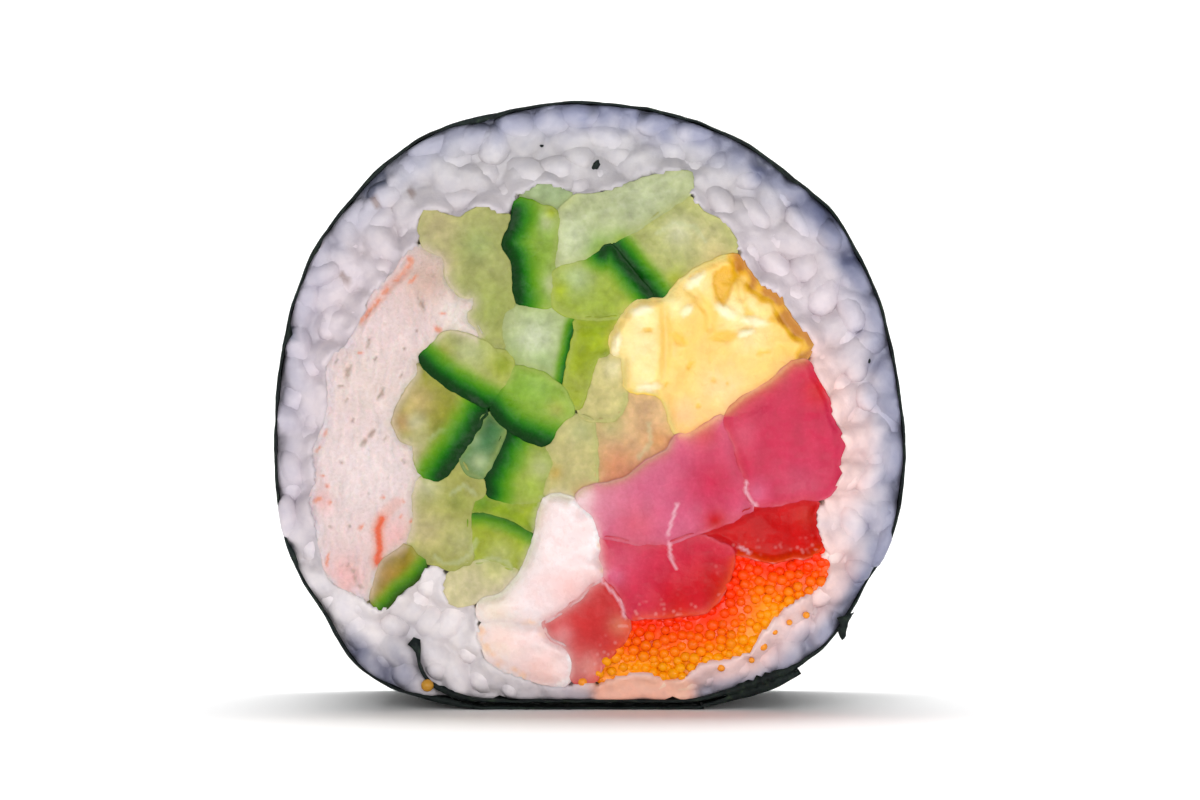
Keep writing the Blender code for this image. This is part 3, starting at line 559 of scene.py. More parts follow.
def top_grains(rng, side, marked):
    """Whole grains that stand out of the mass: middle, half sizes, turn."""
    jobs = [(np.array((x, z)), length / 2, width / 2, math.radians(lie), rng.uniform(-0.2, 0.2))
            for x, z, length, width, lie in marked]
    for p in scatter(rng, GRAIN_TRIES, 0.75):
        pitch = rng.choice((rng.uniform(-0.45, 0.45), rng.uniform(0.6, 1.2)))
        jobs.append((p, rng.uniform(2.0, 2.7), rng.uniform(1.5, 1.9), lie_at(rng, p), pitch))
    ring = np.array([(math.cos(a), math.sin(a)) for a in np.arange(10) * math.tau / 10])
    grains, kept = [], []
    for place, half, wide, lie, pitch in jobs:
        if not room_for(rng, kept, place, GRAIN_SPACING):
            continue
        turned = np.array(((math.cos(lie), math.sin(lie)), (-math.sin(lie), math.cos(lie))))
        for shrink in (1.0, 0.88, 0.76):
            a, b = half * shrink, wide * shrink
            reach = max(b, a * math.cos(pitch))
            edge = place + (ring * (reach * GRAIN_CHECK, b * GRAIN_CHECK)) @ turned
            if clear_of_fillings(edge, GRAIN_OVER) and distance(edge, tail_segments).min() > 0.1:
                turn = Matrix.Rotation(-lie, 3, "Y") @ Matrix.Rotation(pitch, 3, "Z")
                turn = turn @ Matrix.Rotation(rng.uniform(-0.7, 0.7), 3, "X")
                out = math.hypot(a * math.sin(pitch), b)
                y = side * (CUT + rng.uniform(-0.5, 0.1) - out)
                grains.append(((place[0], y, place[1]), (a, b, b * rng.uniform(0.84, 0.95)), turn))
                kept.append(place)
                break
    return grains


def layered(colour, *layers):
    """The colour with others blended over it in turn, each by its amount at each point."""
    for other, amount in layers:
        colour = blend(colour, other, amount)
    return colour


def strokes(points, lines, other, amount, width):
    """Layers of another colour, one along each line."""
    return [(other, amount * stroke(points, line, width)) for line in lines]


def off_fillings(points, *nodes):
    """How far each point is from the nearest of those fillings."""
    return np.min([off_line(points, outlines[node]) for node in nodes], axis=0)


def fillings_near(points):
    """How many fillings lie within half a millimetre of each point."""
    return sum((off_line(points, line) < 0.5).astype(int) for line in outlines.values())


def by_the_foot(points):
    """One along the smooth, stained grains under the roe."""
    across = np.abs(points[:, 1] - 2.1 + 0.1 * np.abs(points[:, 0] - 5))
    return smooth(1.5, 0.9, across) * smooth(-0.5, 1.0, points[:, 0]) * smooth(11, 9, points[:, 0])


def rice_tint(points):
    """White inside; blue-grey by the seaweed, partly the glassy grains and partly painted shade, most of
    all at the upper right; painted light at the lower left; painted shade in cracks, corners, hollows and
    gaps between fillings; and stained by the fish, the stain set high as painted light low down.
    """
    away = distance(points, nori_segments)
    arm = points - CENTRE
    turn = np.degrees(np.arctan2(arm[:, 1], arm[:, 0]))
    rim_shade = np.interp(turn, *zip(*RIM_SHADE))
    pushed = points + 0.8 * soft_noise(points, 1.2, 42.0)[:, None]
    fish = off_fillings(points, "roe", "tuna_right")
    return layered(
        np.tile(np.array(RICE_WHITE), (len(points), 1)),
        (RICE_TOP, 1 - smooth(54, 40, points[:, 1])),
        # painted light at the lower left
        (RICE_PAINTED_LIGHT, smooth(20, 12, points[:, 1]) * smooth(0, -8, points[:, 0])),
        # The blue-grey rim: partly glassy grains over the seaweed, partly painted shade, strongest at the
        # upper right
        (RICE_GREY, (0.2 + 0.8 * rim_shade) * smooth(4.2, 0.4, away + 0.9 * soft_noise(points, 2.5, 40.0))),
        (RICE_RIM, rim_shade * smooth(3.2, 0.2, away + 1.5 * soft_noise(points, 1.6, 41.0))),
        *strokes(points, RICE_CRACKS, RICE_CRACK_SHADE, 0.7, 0.3),
        # painted shade in the corners
        *[(RICE_CORNER_SHADE, 0.8 * spot(pushed, *corner) * smooth(3.0, 1.2, away)) for corner in SHADED_CORNERS],
        # the fish's stains, partly painted light where the lower rice gets less light
        (RICE_WARM, 0.85 * smooth(4.4, 0.2, fish) * smooth(0.2, 1.6, away)),
        (RICE_PEACH, 0.9 * by_the_foot(points)),
        # painted shade in the hollows
        (POCKET_SHADE, smooth(0.4, 0.6, near_pocket(points))),
        # painted shade between fillings
        (JUNCTION_SHADE, 1.0 * (fillings_near(points) > 1)))


def rice_mass(rng, side, plan, triangles):
    """The pressed rice that the whole grains stand in: a face of half-seen grains."""
    centres = thinned(rng, scatter(rng, LUMP_TRIES, 0.0), LUMP_SPACING)
    relief = np.zeros(len(plan))
    shade = np.ones(len(plan))
    for p in centres:
        lie = lie_at(rng, p)
        along = plan - p
        u = (along[:, 0] * math.cos(lie) + along[:, 1] * math.sin(lie)) / rng.uniform(1.9, 2.8)
        v = (along[:, 1] * math.cos(lie) - along[:, 0] * math.sin(lie)) / rng.uniform(1.35, 1.75)
        dome = np.sqrt(np.clip(1 - u * u - v * v, 0, 1)) * rng.uniform(0.7, 1.0)
        shade = np.where(dome > relief, rng.uniform(0.88, 1.0), shade)
        relief = np.maximum(relief, dome)
    gap = distance(plan, filling_segments)
    out = PASTE_LUMP * relief - PASTE_SINK + 0.12 * soft_noise(plan, 0.7, 21.0) - 1.5 * near_pocket(plan)
    out += PASTE_RISE * smooth(1.8, 0.2, gap) * (1 + 0.5 * soft_noise(plan, 1.6, 23.0))
    level = np.maximum(by_the_foot(plan), smooth(1.1, 0.1, gap))
    out = np.maximum(out, (PASTE_SINK - 0.15) * level - PASTE_SINK)
    out[in_filling(plan) | (fillings_near(plan) > 1)] = -UNDER_FILLINGS
    verts = np.stack([plan[:, 0], side * (CUT + out), plan[:, 1]], axis=1)
    # The paste is painted darker where it lies low between the lumps, as painted shade; each lump also has
    # its own random tone
    return verts, [t[::-side] for t in triangles], shade * (0.84 + 0.16 * relief)


def net_of(low, high, grid, line):
    """Points inside a closed line on a net from low to high, every other row moved by half a step."""
    xs, zs = np.meshgrid(np.arange(low[0], high[0], grid), np.arange(low[1], high[1], grid * 0.87))
    xs = xs + (np.arange(len(zs)) % 2)[:, None] * grid / 2
    flat = np.stack([xs.ravel(), zs.ravel()], axis=1)
    return flat[inside(flat, line)]


def filled(rim, points):
    """A flat triangulation inside the rim, and where the rim's points are in it."""
    count = len(rim)
    edges = [(i, (i + 1) % count) for i in range(count)]
    points = [Vector(p) for p in np.concatenate([rim, points])]
    plan, _, triangles, origin, _, _ = delaunay_2d_cdt(points, edges, [], 1, 1e-5)
    place = {old: new for new, olds in enumerate(origin) for old in olds}
    return np.array([tuple(p) for p in plan]), triangles, [place[i] for i in range(count)]


def mass_plan():
    """A flat net of points over the rice, with the fillings' places left open."""
    outer = resampled(moved_in(inner_wall, -0.08), 0.6)
    outer[:, 1] = np.maximum(outer[:, 1], 0.35)
    flat = net_of((-31, 0), (31, 58), PASTE_GRID, outer)
    flat = flat[off_line(flat, outer) > 0.25]
    flat = flat[~(in_filling(flat) & (distance(flat, filling_segments) > 0.8))]
    plan, triangles, _ = filled(outer, flat)
    return plan, [t for t in triangles if max(np.ptp(plan[list(t)], axis=0)) < 1.1]


def open_edges(triangles):
    """The edges that a single triangle has, each in that triangle's order."""
    edges = {(t[i - 1], t[i]) for t in triangles for i in range(3)}
    return [(a, b) for a, b in sorted(edges) if (b, a) not in edges]


def held_in(points, line):
    """The points, with those outside the line moved onto it."""
    return np.where(inside(points, line)[:, None], points, nearest(points, segments(line))[1])


def squash(points, side):
    """Presses a grain against the seaweed, which stops short of the cut at its bare stretches."""
    flat = points[:, [0, 2]]
    held = held_in(flat, inner_wall)
    if side < 0:
        bulge = (near_any(flat, BARE) > 0.3) & (points[:, 1] < -CUT + 1.0)
        held = np.where(bulge[:, None], held_in(flat, roll_outline), held)
    points[:, [0, 2]] = held


def lay_rice():
    rng = random.Random(RICE_SEED)
    shape, shape_faces = plump_grain()
    plan, triangles = mass_plan()
    rice = Heap()
    for side in (-1, 1):
        back = rice.count
        rice.add(*rice_mass(rng, side, plan, triangles))
        for middle, half, turn in top_grains(rng, side, MARKED_GRAINS if side < 0 else ()):
            lumpy = 1 + 0.09 * soft_noise(shape[:, :2] + shape[:, 2:], 1.1, rng.uniform(0, 90))[:, None]
            points = (shape * lumpy * np.array(half)) @ np.array(turn).T + np.array(middle)
            rise = side * points[:, 1]
            rise = (rise - rise.min()) / np.ptp(rise)
            squash(points, side)
            # Each grain's sides are painted darker than its crown, as painted shade; the random factor is
            # its own tone
            shade = rng.uniform(0.92, 1.06) * (0.74 + 0.26 * smooth(0.3, 0.95, rise))
            rice.add(points, shape_faces, shade)
    rice.faces += [(b, a, back + a, back + b) for a, b in open_edges(triangles)]
    verts, faces, shades = rice.mesh()
    verts[:, 2] = np.maximum(verts[:, 2], 0.3)
    return verts, faces, shades


def rice_look():
    look = Look("rice", Specular_IOR_Level=0.3, Coat_Weight=0.08, Coat_Roughness=0.15)
    cloud = look.noise(1.1, 3.0)
    shade = look.ramp(cloud, (0.32, (0.6, 0.61, 0.68)), (0.65, (0.8, 0.8, 0.81)))
    colour = look.mix("MULTIPLY", 0.5, look.tint(), shade)
    normal = look.bump(look.noise(0.45, 3.0), 0.05)
    return look.wear(colour, normal, look.ramp(cloud, (0.3, 0.28), (0.7, 0.45)))


verts, faces, shades = lay_rice()
# The rice's colours carry the painted shade of the grains and the paste
tints = np.minimum(rice_tint(verts[:, [0, 2]]) * shades[:, None], 1.0)
make_piece("rice_grains", verts, faces, rice_look(), ["rice"], tints)

# Specks
# A few crumbs of seaweed that the knife carried into the rice.

# x, z, half length, half width, lie in degrees
CRUMBS = ((0.6, 51.9, 0.5, 0.32, 60), (-4.6, 53.7, 0.2, 0.14, 0), (26.6, 33.2, 0.22, 0.12, 80))
CRUMB_THICK = 0.14


def crumbs():
    shape, shape_faces = plump_grain()
    bits = Heap()
    for x, z, half, wide, lie in CRUMBS:
        turn = np.array(Matrix.Rotation(-math.radians(lie), 3, "Y"))
        rough = 1 + 0.25 * soft_noise(shape[:, :2] + shape[:, 2:], 0.5, x)[:, None]
        bits.add((shape * rough * (half, CRUMB_THICK, wide)) @ turn.T + (x, -CUT - 0.12, z), shape_faces)
    return bits.mesh()[:2]


verts, faces = crumbs()
make_piece("nori_crumbs", verts, faces, nori, ["nori"])

# Cut faces of the fillings
# Each stick is drawn from its solid's outline, grown until it meets its neighbours, with a finely
# modelled face at both cuts. A filling's own section gives the face its relief and its colours.

GROW = 0.36
EDGE_RADIUS = 0.025
WALL_STEP = 0.6  # a row of points on the side, that far from the cut
BLEED = 0.5
BLEED_REACH = 0.4
LEVEL_REACH = 0.9  # how far in from its edge a face leaves the height that it shares with its neighbours
FACE_GRIDS = {"crab": 0.24, "cucumber": 0.3, "omelette": 0.26, "tuna": 0.26, "prawn": 0.28, "roe": 0.45}
STAGGER = 0.008  # keeps faces that overlap apart
BORDER_COLOURS = {"crab": (0.84, 0.66, 0.6), "cucumber": (0.4, 0.44, 0.12), "omelette": (0.95, 0.7, 0.22),
                  "tuna": (0.68, 0.08, 0.1), "prawn": (0.95, 0.76, 0.72), "roe": (0.98, 0.12, 0.002)}
# The twist of the fillings, the same as in their solids
SWIRL = math.radians(8)
SWIRL_REACH = 27.0


def through(points, y):
    """Points of the front cut carried along the roll to the depths y, with the twist of the solids."""
    arm = points - CENTRE
    fade = np.clip(1 - (np.linalg.norm(arm, axis=1) / SWIRL_REACH) ** 2, 0, 1) ** 2
    angle = SWIRL * fade * (y + CUT) / (2 * CUT)
    cos, sin = np.cos(angle), np.sin(angle)
    x = arm[:, 0] * cos - arm[:, 1] * sin + CENTRE[0]
    z = arm[:, 0] * sin + arm[:, 1] * cos + CENTRE[1]
    return np.stack([x, np.broadcast_to(y, x.shape), z], axis=1)


def cut_face(line, grid):
    """A flat triangulation of the closed line: rows of points near its edge, then a staggered net."""
    rows = []
    for inset in (0.1, 0.25):
        row = moved_in(line, inset)
        rows.append(row[off_line(row, line) > 0.85 * inset])
    flat = net_of(line.min(0), line.max(0), grid, line)
    rows.append(flat[off_line(flat, line) > 0.25 + 0.45 * grid])
    return filled(line, np.concatenate(rows))


def stick(node, relief, paint, material, slot, name):
    """One filling. relief takes its face's points, their distance from its edge and the side."""
    outline = resampled(cut_outline(node), 0.35)
    line = moved_in(outline, -GROW)
    line = line[off_line(line, outline) > 0.9 * GROW]
    line = uneven(uneven(line, 0.16, 1.0, 50.0), 0.08, 0.4, 53.0)
    plan, triangles, rim = cut_face(line, FACE_GRIDS[slot])
    depth = off_line(plan, line)
    tint = paint(plan, depth, lambda colour: bled(plan, node, colour))
    bevel = EDGE_RADIUS * (1 - np.sqrt(np.clip(1 - np.clip(1 - depth / EDGE_RADIUS, 0, 1) ** 2, 0, 1)))
    level = smooth(LEVEL_REACH, 0.1, depth)
    cut = Heap()
    for side in (-1, 1):
        shared = 0.1 * soft_noise(plan, 4.0, 33.0 + side) - 0.08 + STAGGER * FILLING_NODES.index(node)
        out = relief(plan, depth, side) * (1 - level) + shared * level - bevel
        cut.add(through(plan, side * (CUT + out)), [t[::-side] for t in triangles], tint)
    for side, face in zip((-1, 1), cut.points[:2]):
        cut.add(through(plan[rim], face[rim, 1] - side * WALL_STEP), [], tint[rim])
    wall, count = 2 * len(plan), len(rim)
    back_rim = [i + len(plan) for i in rim]
    cut.faces += joined([rim, range(wall, wall + count), range(wall + count, wall + 2 * count), back_rim])
    verts, faces, tints = cut.mesh()
    make_piece(name, verts, faces, material, [node], tints)


def washes(points, base, spots):
    """A base colour with soft round spots of others: x, z, radius, colour."""
    colour = np.tile(np.array(base, float), (len(points), 1))
    for x, z, radius, other in spots:
        colour = blend(colour, other, spot(points, x, z, radius))
    return colour


def bled(points, node, colour):
    """The colour with a little of the nearest other filling's at the border, as wet food has."""
    gap, near = np.full(len(points), np.inf), np.zeros((len(points), 3))
    low, high = points.min(0) - 1, points.max(0) + 1
    for other, line in outlines.items():
        if other == node or (line.max(0) < low).any() or (line.min(0) > high).any():
            continue
        away = off_line(points, line)
        near[away < gap] = BORDER_COLOURS[other.split("_")[0]]
        gap = np.minimum(gap, away)
    return blend(colour, near, BLEED * np.exp(-gap / BLEED_REACH))


def marks(points, ovals):
    """One inside uneven ovals given by middle, length, width and lie in degrees, with soft edges."""
    points = uneven(points, 0.14, 0.5, 51.0)
    found = np.zeros(len(points))
    for x, z, length, width, lie in ovals:
        cos, sin = math.cos(math.radians(lie)), math.sin(math.radians(lie))
        arm = points - (x, z)
        along = (arm[:, 0] * cos + arm[:, 1] * sin) / (length / 2)
        across = (arm[:, 1] * cos - arm[:, 0] * sin) / (width / 2)
        found = np.maximum(found, smooth(1.35, 0.5, np.hypot(along, across)))
    return found


def patch(points, edge):
    """One inside an uneven closed line, with a soft edge."""
    points = uneven(points, 0.1, 0.5, 51.0)
    away = off_line(points, edge)
    return smooth(-0.15, 0.2, np.where(inside(points, np.array(edge)), away, -away))


def crowned(points, depth, proud, crown, lump, size, seed, reach=1.5):
    """A cut face's relief: it stands proud, rises from its edge, and has broad lumps."""
    return proud + crown * (1 - np.exp(-depth / reach)) + lump * soft_noise(points, size, seed)


def flesh(name, grain, shade, amount, relief, rough, broad=None, glow=None, **values):
    """Moist food: the tint, darkened by its grain, with fine and broad relief."""
    look = Look(name, **values)
    if glow:
        look.shader.inputs["Subsurface Radius"].default_value = glow
    fine = look.noise(*grain)
    colour = look.mix("MULTIPLY", amount, look.tint(), look.ramp(fine, *shade))
    under = look.bump(look.noise(broad[0], 2.0), broad[1]) if broad else None
    worn = look.ramp(fine, (0.3, rough[0]), (0.7, rough[1]))
    return look.wear(colour, look.bump(fine, relief, under), worn)


# Crab stick
# Pressed white fish paste in fine threads, dyed orange-red on its skin, some of which is folded in.

CRAB_WHITE = (0.82, 0.66, 0.64)
CRAB_PINK = (0.88, 0.52, 0.5)
CRAB_CREAM = (0.66, 0.47, 0.39)
CRAB_RED = (0.85, 0.14, 0.05)
CRAB_ORANGE = (0.84, 0.3, 0.17)
# Painted shade for slits, pores and the crease
CRAB_SLIT_SHADE = (0.42, 0.26, 0.17)
CRAB_RED_LINE = (
    (-19.8, 18.2), (-20.2, 17.2), (-20.1, 16.2), (-20.0, 15.3), (-20.3, 14.3), (-20.2, 13.9),
    (-19.7, 14.2))
CRAB_FAINT_LINE = ((-18.4, 19.7), (-19.3, 19.0), (-19.8, 18.2), (-20.2, 17.2))
CRAB_SKIN_LINE = (
    (-21.8, 37.0), (-20.8, 38.2), (-19.6, 39.6), (-18.9, 40.6), (-17.8, 41.4), (-17.3, 42.2))
# A crease in the face, sunk and painted with shade
CRAB_CREASE = ((-23.0, 13.8), (-22.4, 13.1), (-22.3, 12.4), (-21.8, 11.6))
CRAB_SPOTS = (
    (-15.5, 41.0, 3.0, CRAB_CREAM), (-18.5, 16.6, 2.0, CRAB_PINK), (-23.5, 12.6, 2.2, CRAB_PINK),
    (-25.6, 20.0, 1.2, CRAB_PINK), (-13.0, 37.6, 1.8, (0.84, 0.74, 0.68)),
    (-21.0, 31.0, 4.0, (0.82, 0.68, 0.63)), (-21.5, 23.0, 4.0, (0.88, 0.75, 0.73)))
# Bits of skin and slits between the threads: x, z, length, width, lie in degrees
CRAB_SKINS = (
    (-17.1, 42.8, 1.0, 0.6, -50), (-16.8, 41.0, 1.3, 0.3, 50), (-15.3, 43.8, 1.1, 0.4, -15),
    (-12.8, 40.6, 0.9, 0.4, -50), (-12.3, 39.9, 0.7, 0.3, -60), (-14.1, 37.7, 0.9, 0.25, 0),
    (-14.5, 36.2, 0.9, 0.6, -30), (-10.6, 35.4, 0.6, 0.3, -50), (-18.5, 27.4, 1.1, 0.6, 80),
    (-17.9, 26.2, 1.0, 0.4, 75), (-17.8, 29.1, 1.0, 0.3, 70), (-25.2, 26.2, 0.9, 0.25, 65),
    (-25.9, 24.8, 0.8, 0.2, 60), (-25.5, 22.3, 0.6, 0.3, 30), (-25.0, 21.3, 0.5, 0.4, 0),
    (-25.9, 20.0, 0.9, 0.5, 20), (-24.7, 19.8, 0.4, 0.4, 0), (-25.0, 14.3, 1.4, 0.3, 75),
    (-17.0, 17.9, 0.5, 0.4, 60), (-19.7, 20.3, 0.4, 0.35, 0), (-18.0, 18.4, 0.3, 0.25, 0),
    (-17.8, 19.9, 0.35, 0.3, 0), (-21.8, 17.4, 0.7, 0.35, 60), (-21.9, 34.0, 0.7, 0.2, -10),
    (-20.2, 11.0, 1.6, 0.5, -50))
# Slits and pores between the threads, sunk and painted with shade: x, z, length, width, lie in degrees
CRAB_PORES = (
    (-14.9, 41.5, 0.35, 0.3, 0), (-16.1, 38.8, 1.6, 0.3, -72), (-19.4, 36.7, 0.25, 0.2, 0),
    (-16.5, 36.1, 0.25, 0.2, 0), (-21.1, 35.0, 1.0, 0.3, 75), (-23.0, 32.3, 1.5, 0.45, 70),
    (-24.2, 33.3, 0.9, 0.2, 75), (-23.7, 30.9, 0.5, 0.35, 20), (-19.9, 30.1, 1.3, 0.35, 65),
    (-17.9, 32.0, 0.9, 0.25, 70), (-17.7, 34.4, 0.25, 0.2, 0), (-20.8, 26.3, 1.2, 0.45, 55),
    (-21.5, 25.5, 0.9, 0.5, 60), (-19.5, 26.0, 0.8, 0.2, 80), (-23.7, 23.6, 0.6, 0.4, -40),
    (-17.7, 23.7, 0.4, 0.3, 30), (-24.7, 17.4, 0.4, 0.25, 0), (-22.9, 17.4, 0.35, 0.3, 0),
    (-17.9, 16.3, 0.3, 0.25, 0), (-23.1, 29.5, 0.3, 0.2, 60), (-19.4, 22.0, 0.4, 0.15, 60),
    (-21.2, 20.6, 0.3, 0.15, 40), (-22.6, 27.6, 0.4, 0.15, 60), (-20.4, 33.4, 0.4, 0.15, 60))


def crab_threads(points):
    """Fine threads that run up the stick's face."""
    bent = uneven(points, 0.8, 4, 71.0)
    return soft_noise(bent * (1, 0.3), 0.45, 73.0) + 0.6 * soft_noise(bent * (1, 0.5), 1.1, 74.0)


def crab_relief(points, depth, side):
    out = crowned(points, depth, 0.1, 0.2, 0.25, 3.0, 70.0 + side) + 0.15 * crab_threads(points)
    out -= 0.35 * marks(points, CRAB_PORES) + 0.3 * stroke(points, CRAB_CREASE, 0.2)
    return out - 0.15 * stroke(points, CRAB_SKIN_LINE, 0.25) - 0.12 * stroke(points, CRAB_RED_LINE, 0.25)


def crab_paint(points, depth, soak):
    colour = washes(points, CRAB_WHITE, CRAB_SPOTS)
    colour = soak(colour * (1 + 0.1 * crab_threads(points))[:, None])
    rice_side = smooth(1.4, 0.0, depth) * smooth(-15.0, -22.0, points[:, 0])
    rice_side *= smooth(-0.4, 0.3, soft_noise(points, 1.4, 76.0))
    broken = smooth(-0.2, 0.12, soft_noise(points, 0.6, 75.0))
    halo = 0.35 * stroke(points, CRAB_SKIN_LINE, 0.5) + 0.3 * stroke(points, CRAB_FAINT_LINE, 0.6)
    return layered(
        colour,
        (RICE_WHITE, 0.8 * rice_side),
        (CRAB_ORANGE, halo),
        (CRAB_ORANGE, 0.9 * stroke(points, CRAB_SKIN_LINE, 0.2) * broken),
        (CRAB_ORANGE, 0.45 * stroke(points, CRAB_RED_LINE, 0.7)),
        (CRAB_RED, stroke(points, CRAB_RED_LINE, 0.3)),
        (CRAB_ORANGE, 0.85 * marks(points, CRAB_SKINS)),
        # painted shade in the pores and the crease
        (CRAB_SLIT_SHADE, 0.6 * marks(points, CRAB_PORES)),
        (CRAB_SLIT_SHADE, 0.5 * stroke(points, CRAB_CREASE, 0.2) * broken))


crab = flesh("crab", (0.35, 4.0, 0.65), ((0.3, (0.66, 0.62, 0.62)), (0.62, (0.84, 0.83, 0.86))), 0.6, 0.12,
             (0.35, 0.6), Subsurface_Weight=0.35, Subsurface_Scale=0.8 * MM, Specular_IOR_Level=0.4)
stick("crab_stick", crab_relief, crab_paint, crab, "crab", "crab")

# Cucumber
# Wet batons of cucumber: dark glossy skin on one side, then bright green flesh that pales inwards to
# the seed core. Cut across, they show as blocks and strips, some of them glassy.

PALE = (0.46, 0.52, 0.26)
WHITISH = (0.58, 0.64, 0.4)
LEAF = (0.2, 0.4, 0.015)
LIME = (0.36, 0.45, 0.02)
TAN = (0.62, 0.53, 0.24)
SKIN_RAMP = (
    (0.0, (0.001, 0.035, 0.001)), (0.7, (0.001, 0.055, 0.001)), (1.1, (0.002, 0.115, 0.001)),
    (1.7, (0.03, 0.22, 0.002)), (2.4, (0.11, 0.31, 0.006)), (3.4, (0.21, 0.39, 0.02)))
SKIN_FADE = (4.2, 2.4)
# Pale rims round the seeds
CUCUMBER_VEINS = (
    ((-14.8, 14.6), (-14.0, 13.9), (-12.6, 14.0), (-11.4, 14.8), (-10.8, 16.2)),
    ((-10.8, 13.9), (-9.4, 14.5), (-7.8, 14.0), (-7.2, 12.8)),
    ((-13.2, 20.6), (-12.0, 21.4), (-11.0, 20.6)), ((4.6, 24.0), (5.8, 25.4), (5.6, 27.2)),
    ((-15.2, 25.8), (-14.2, 26.6), (-13.2, 26.4)), ((6.4, 45.4), (8.0, 46.4), (10.0, 46.0), (11.0, 44.6)),
    ((2.4, 48.9), (6.0, 50.2), (9.0, 51.0)), ((-0.6, 47.0), (4.0, 48.2), (8.0, 49.6)))

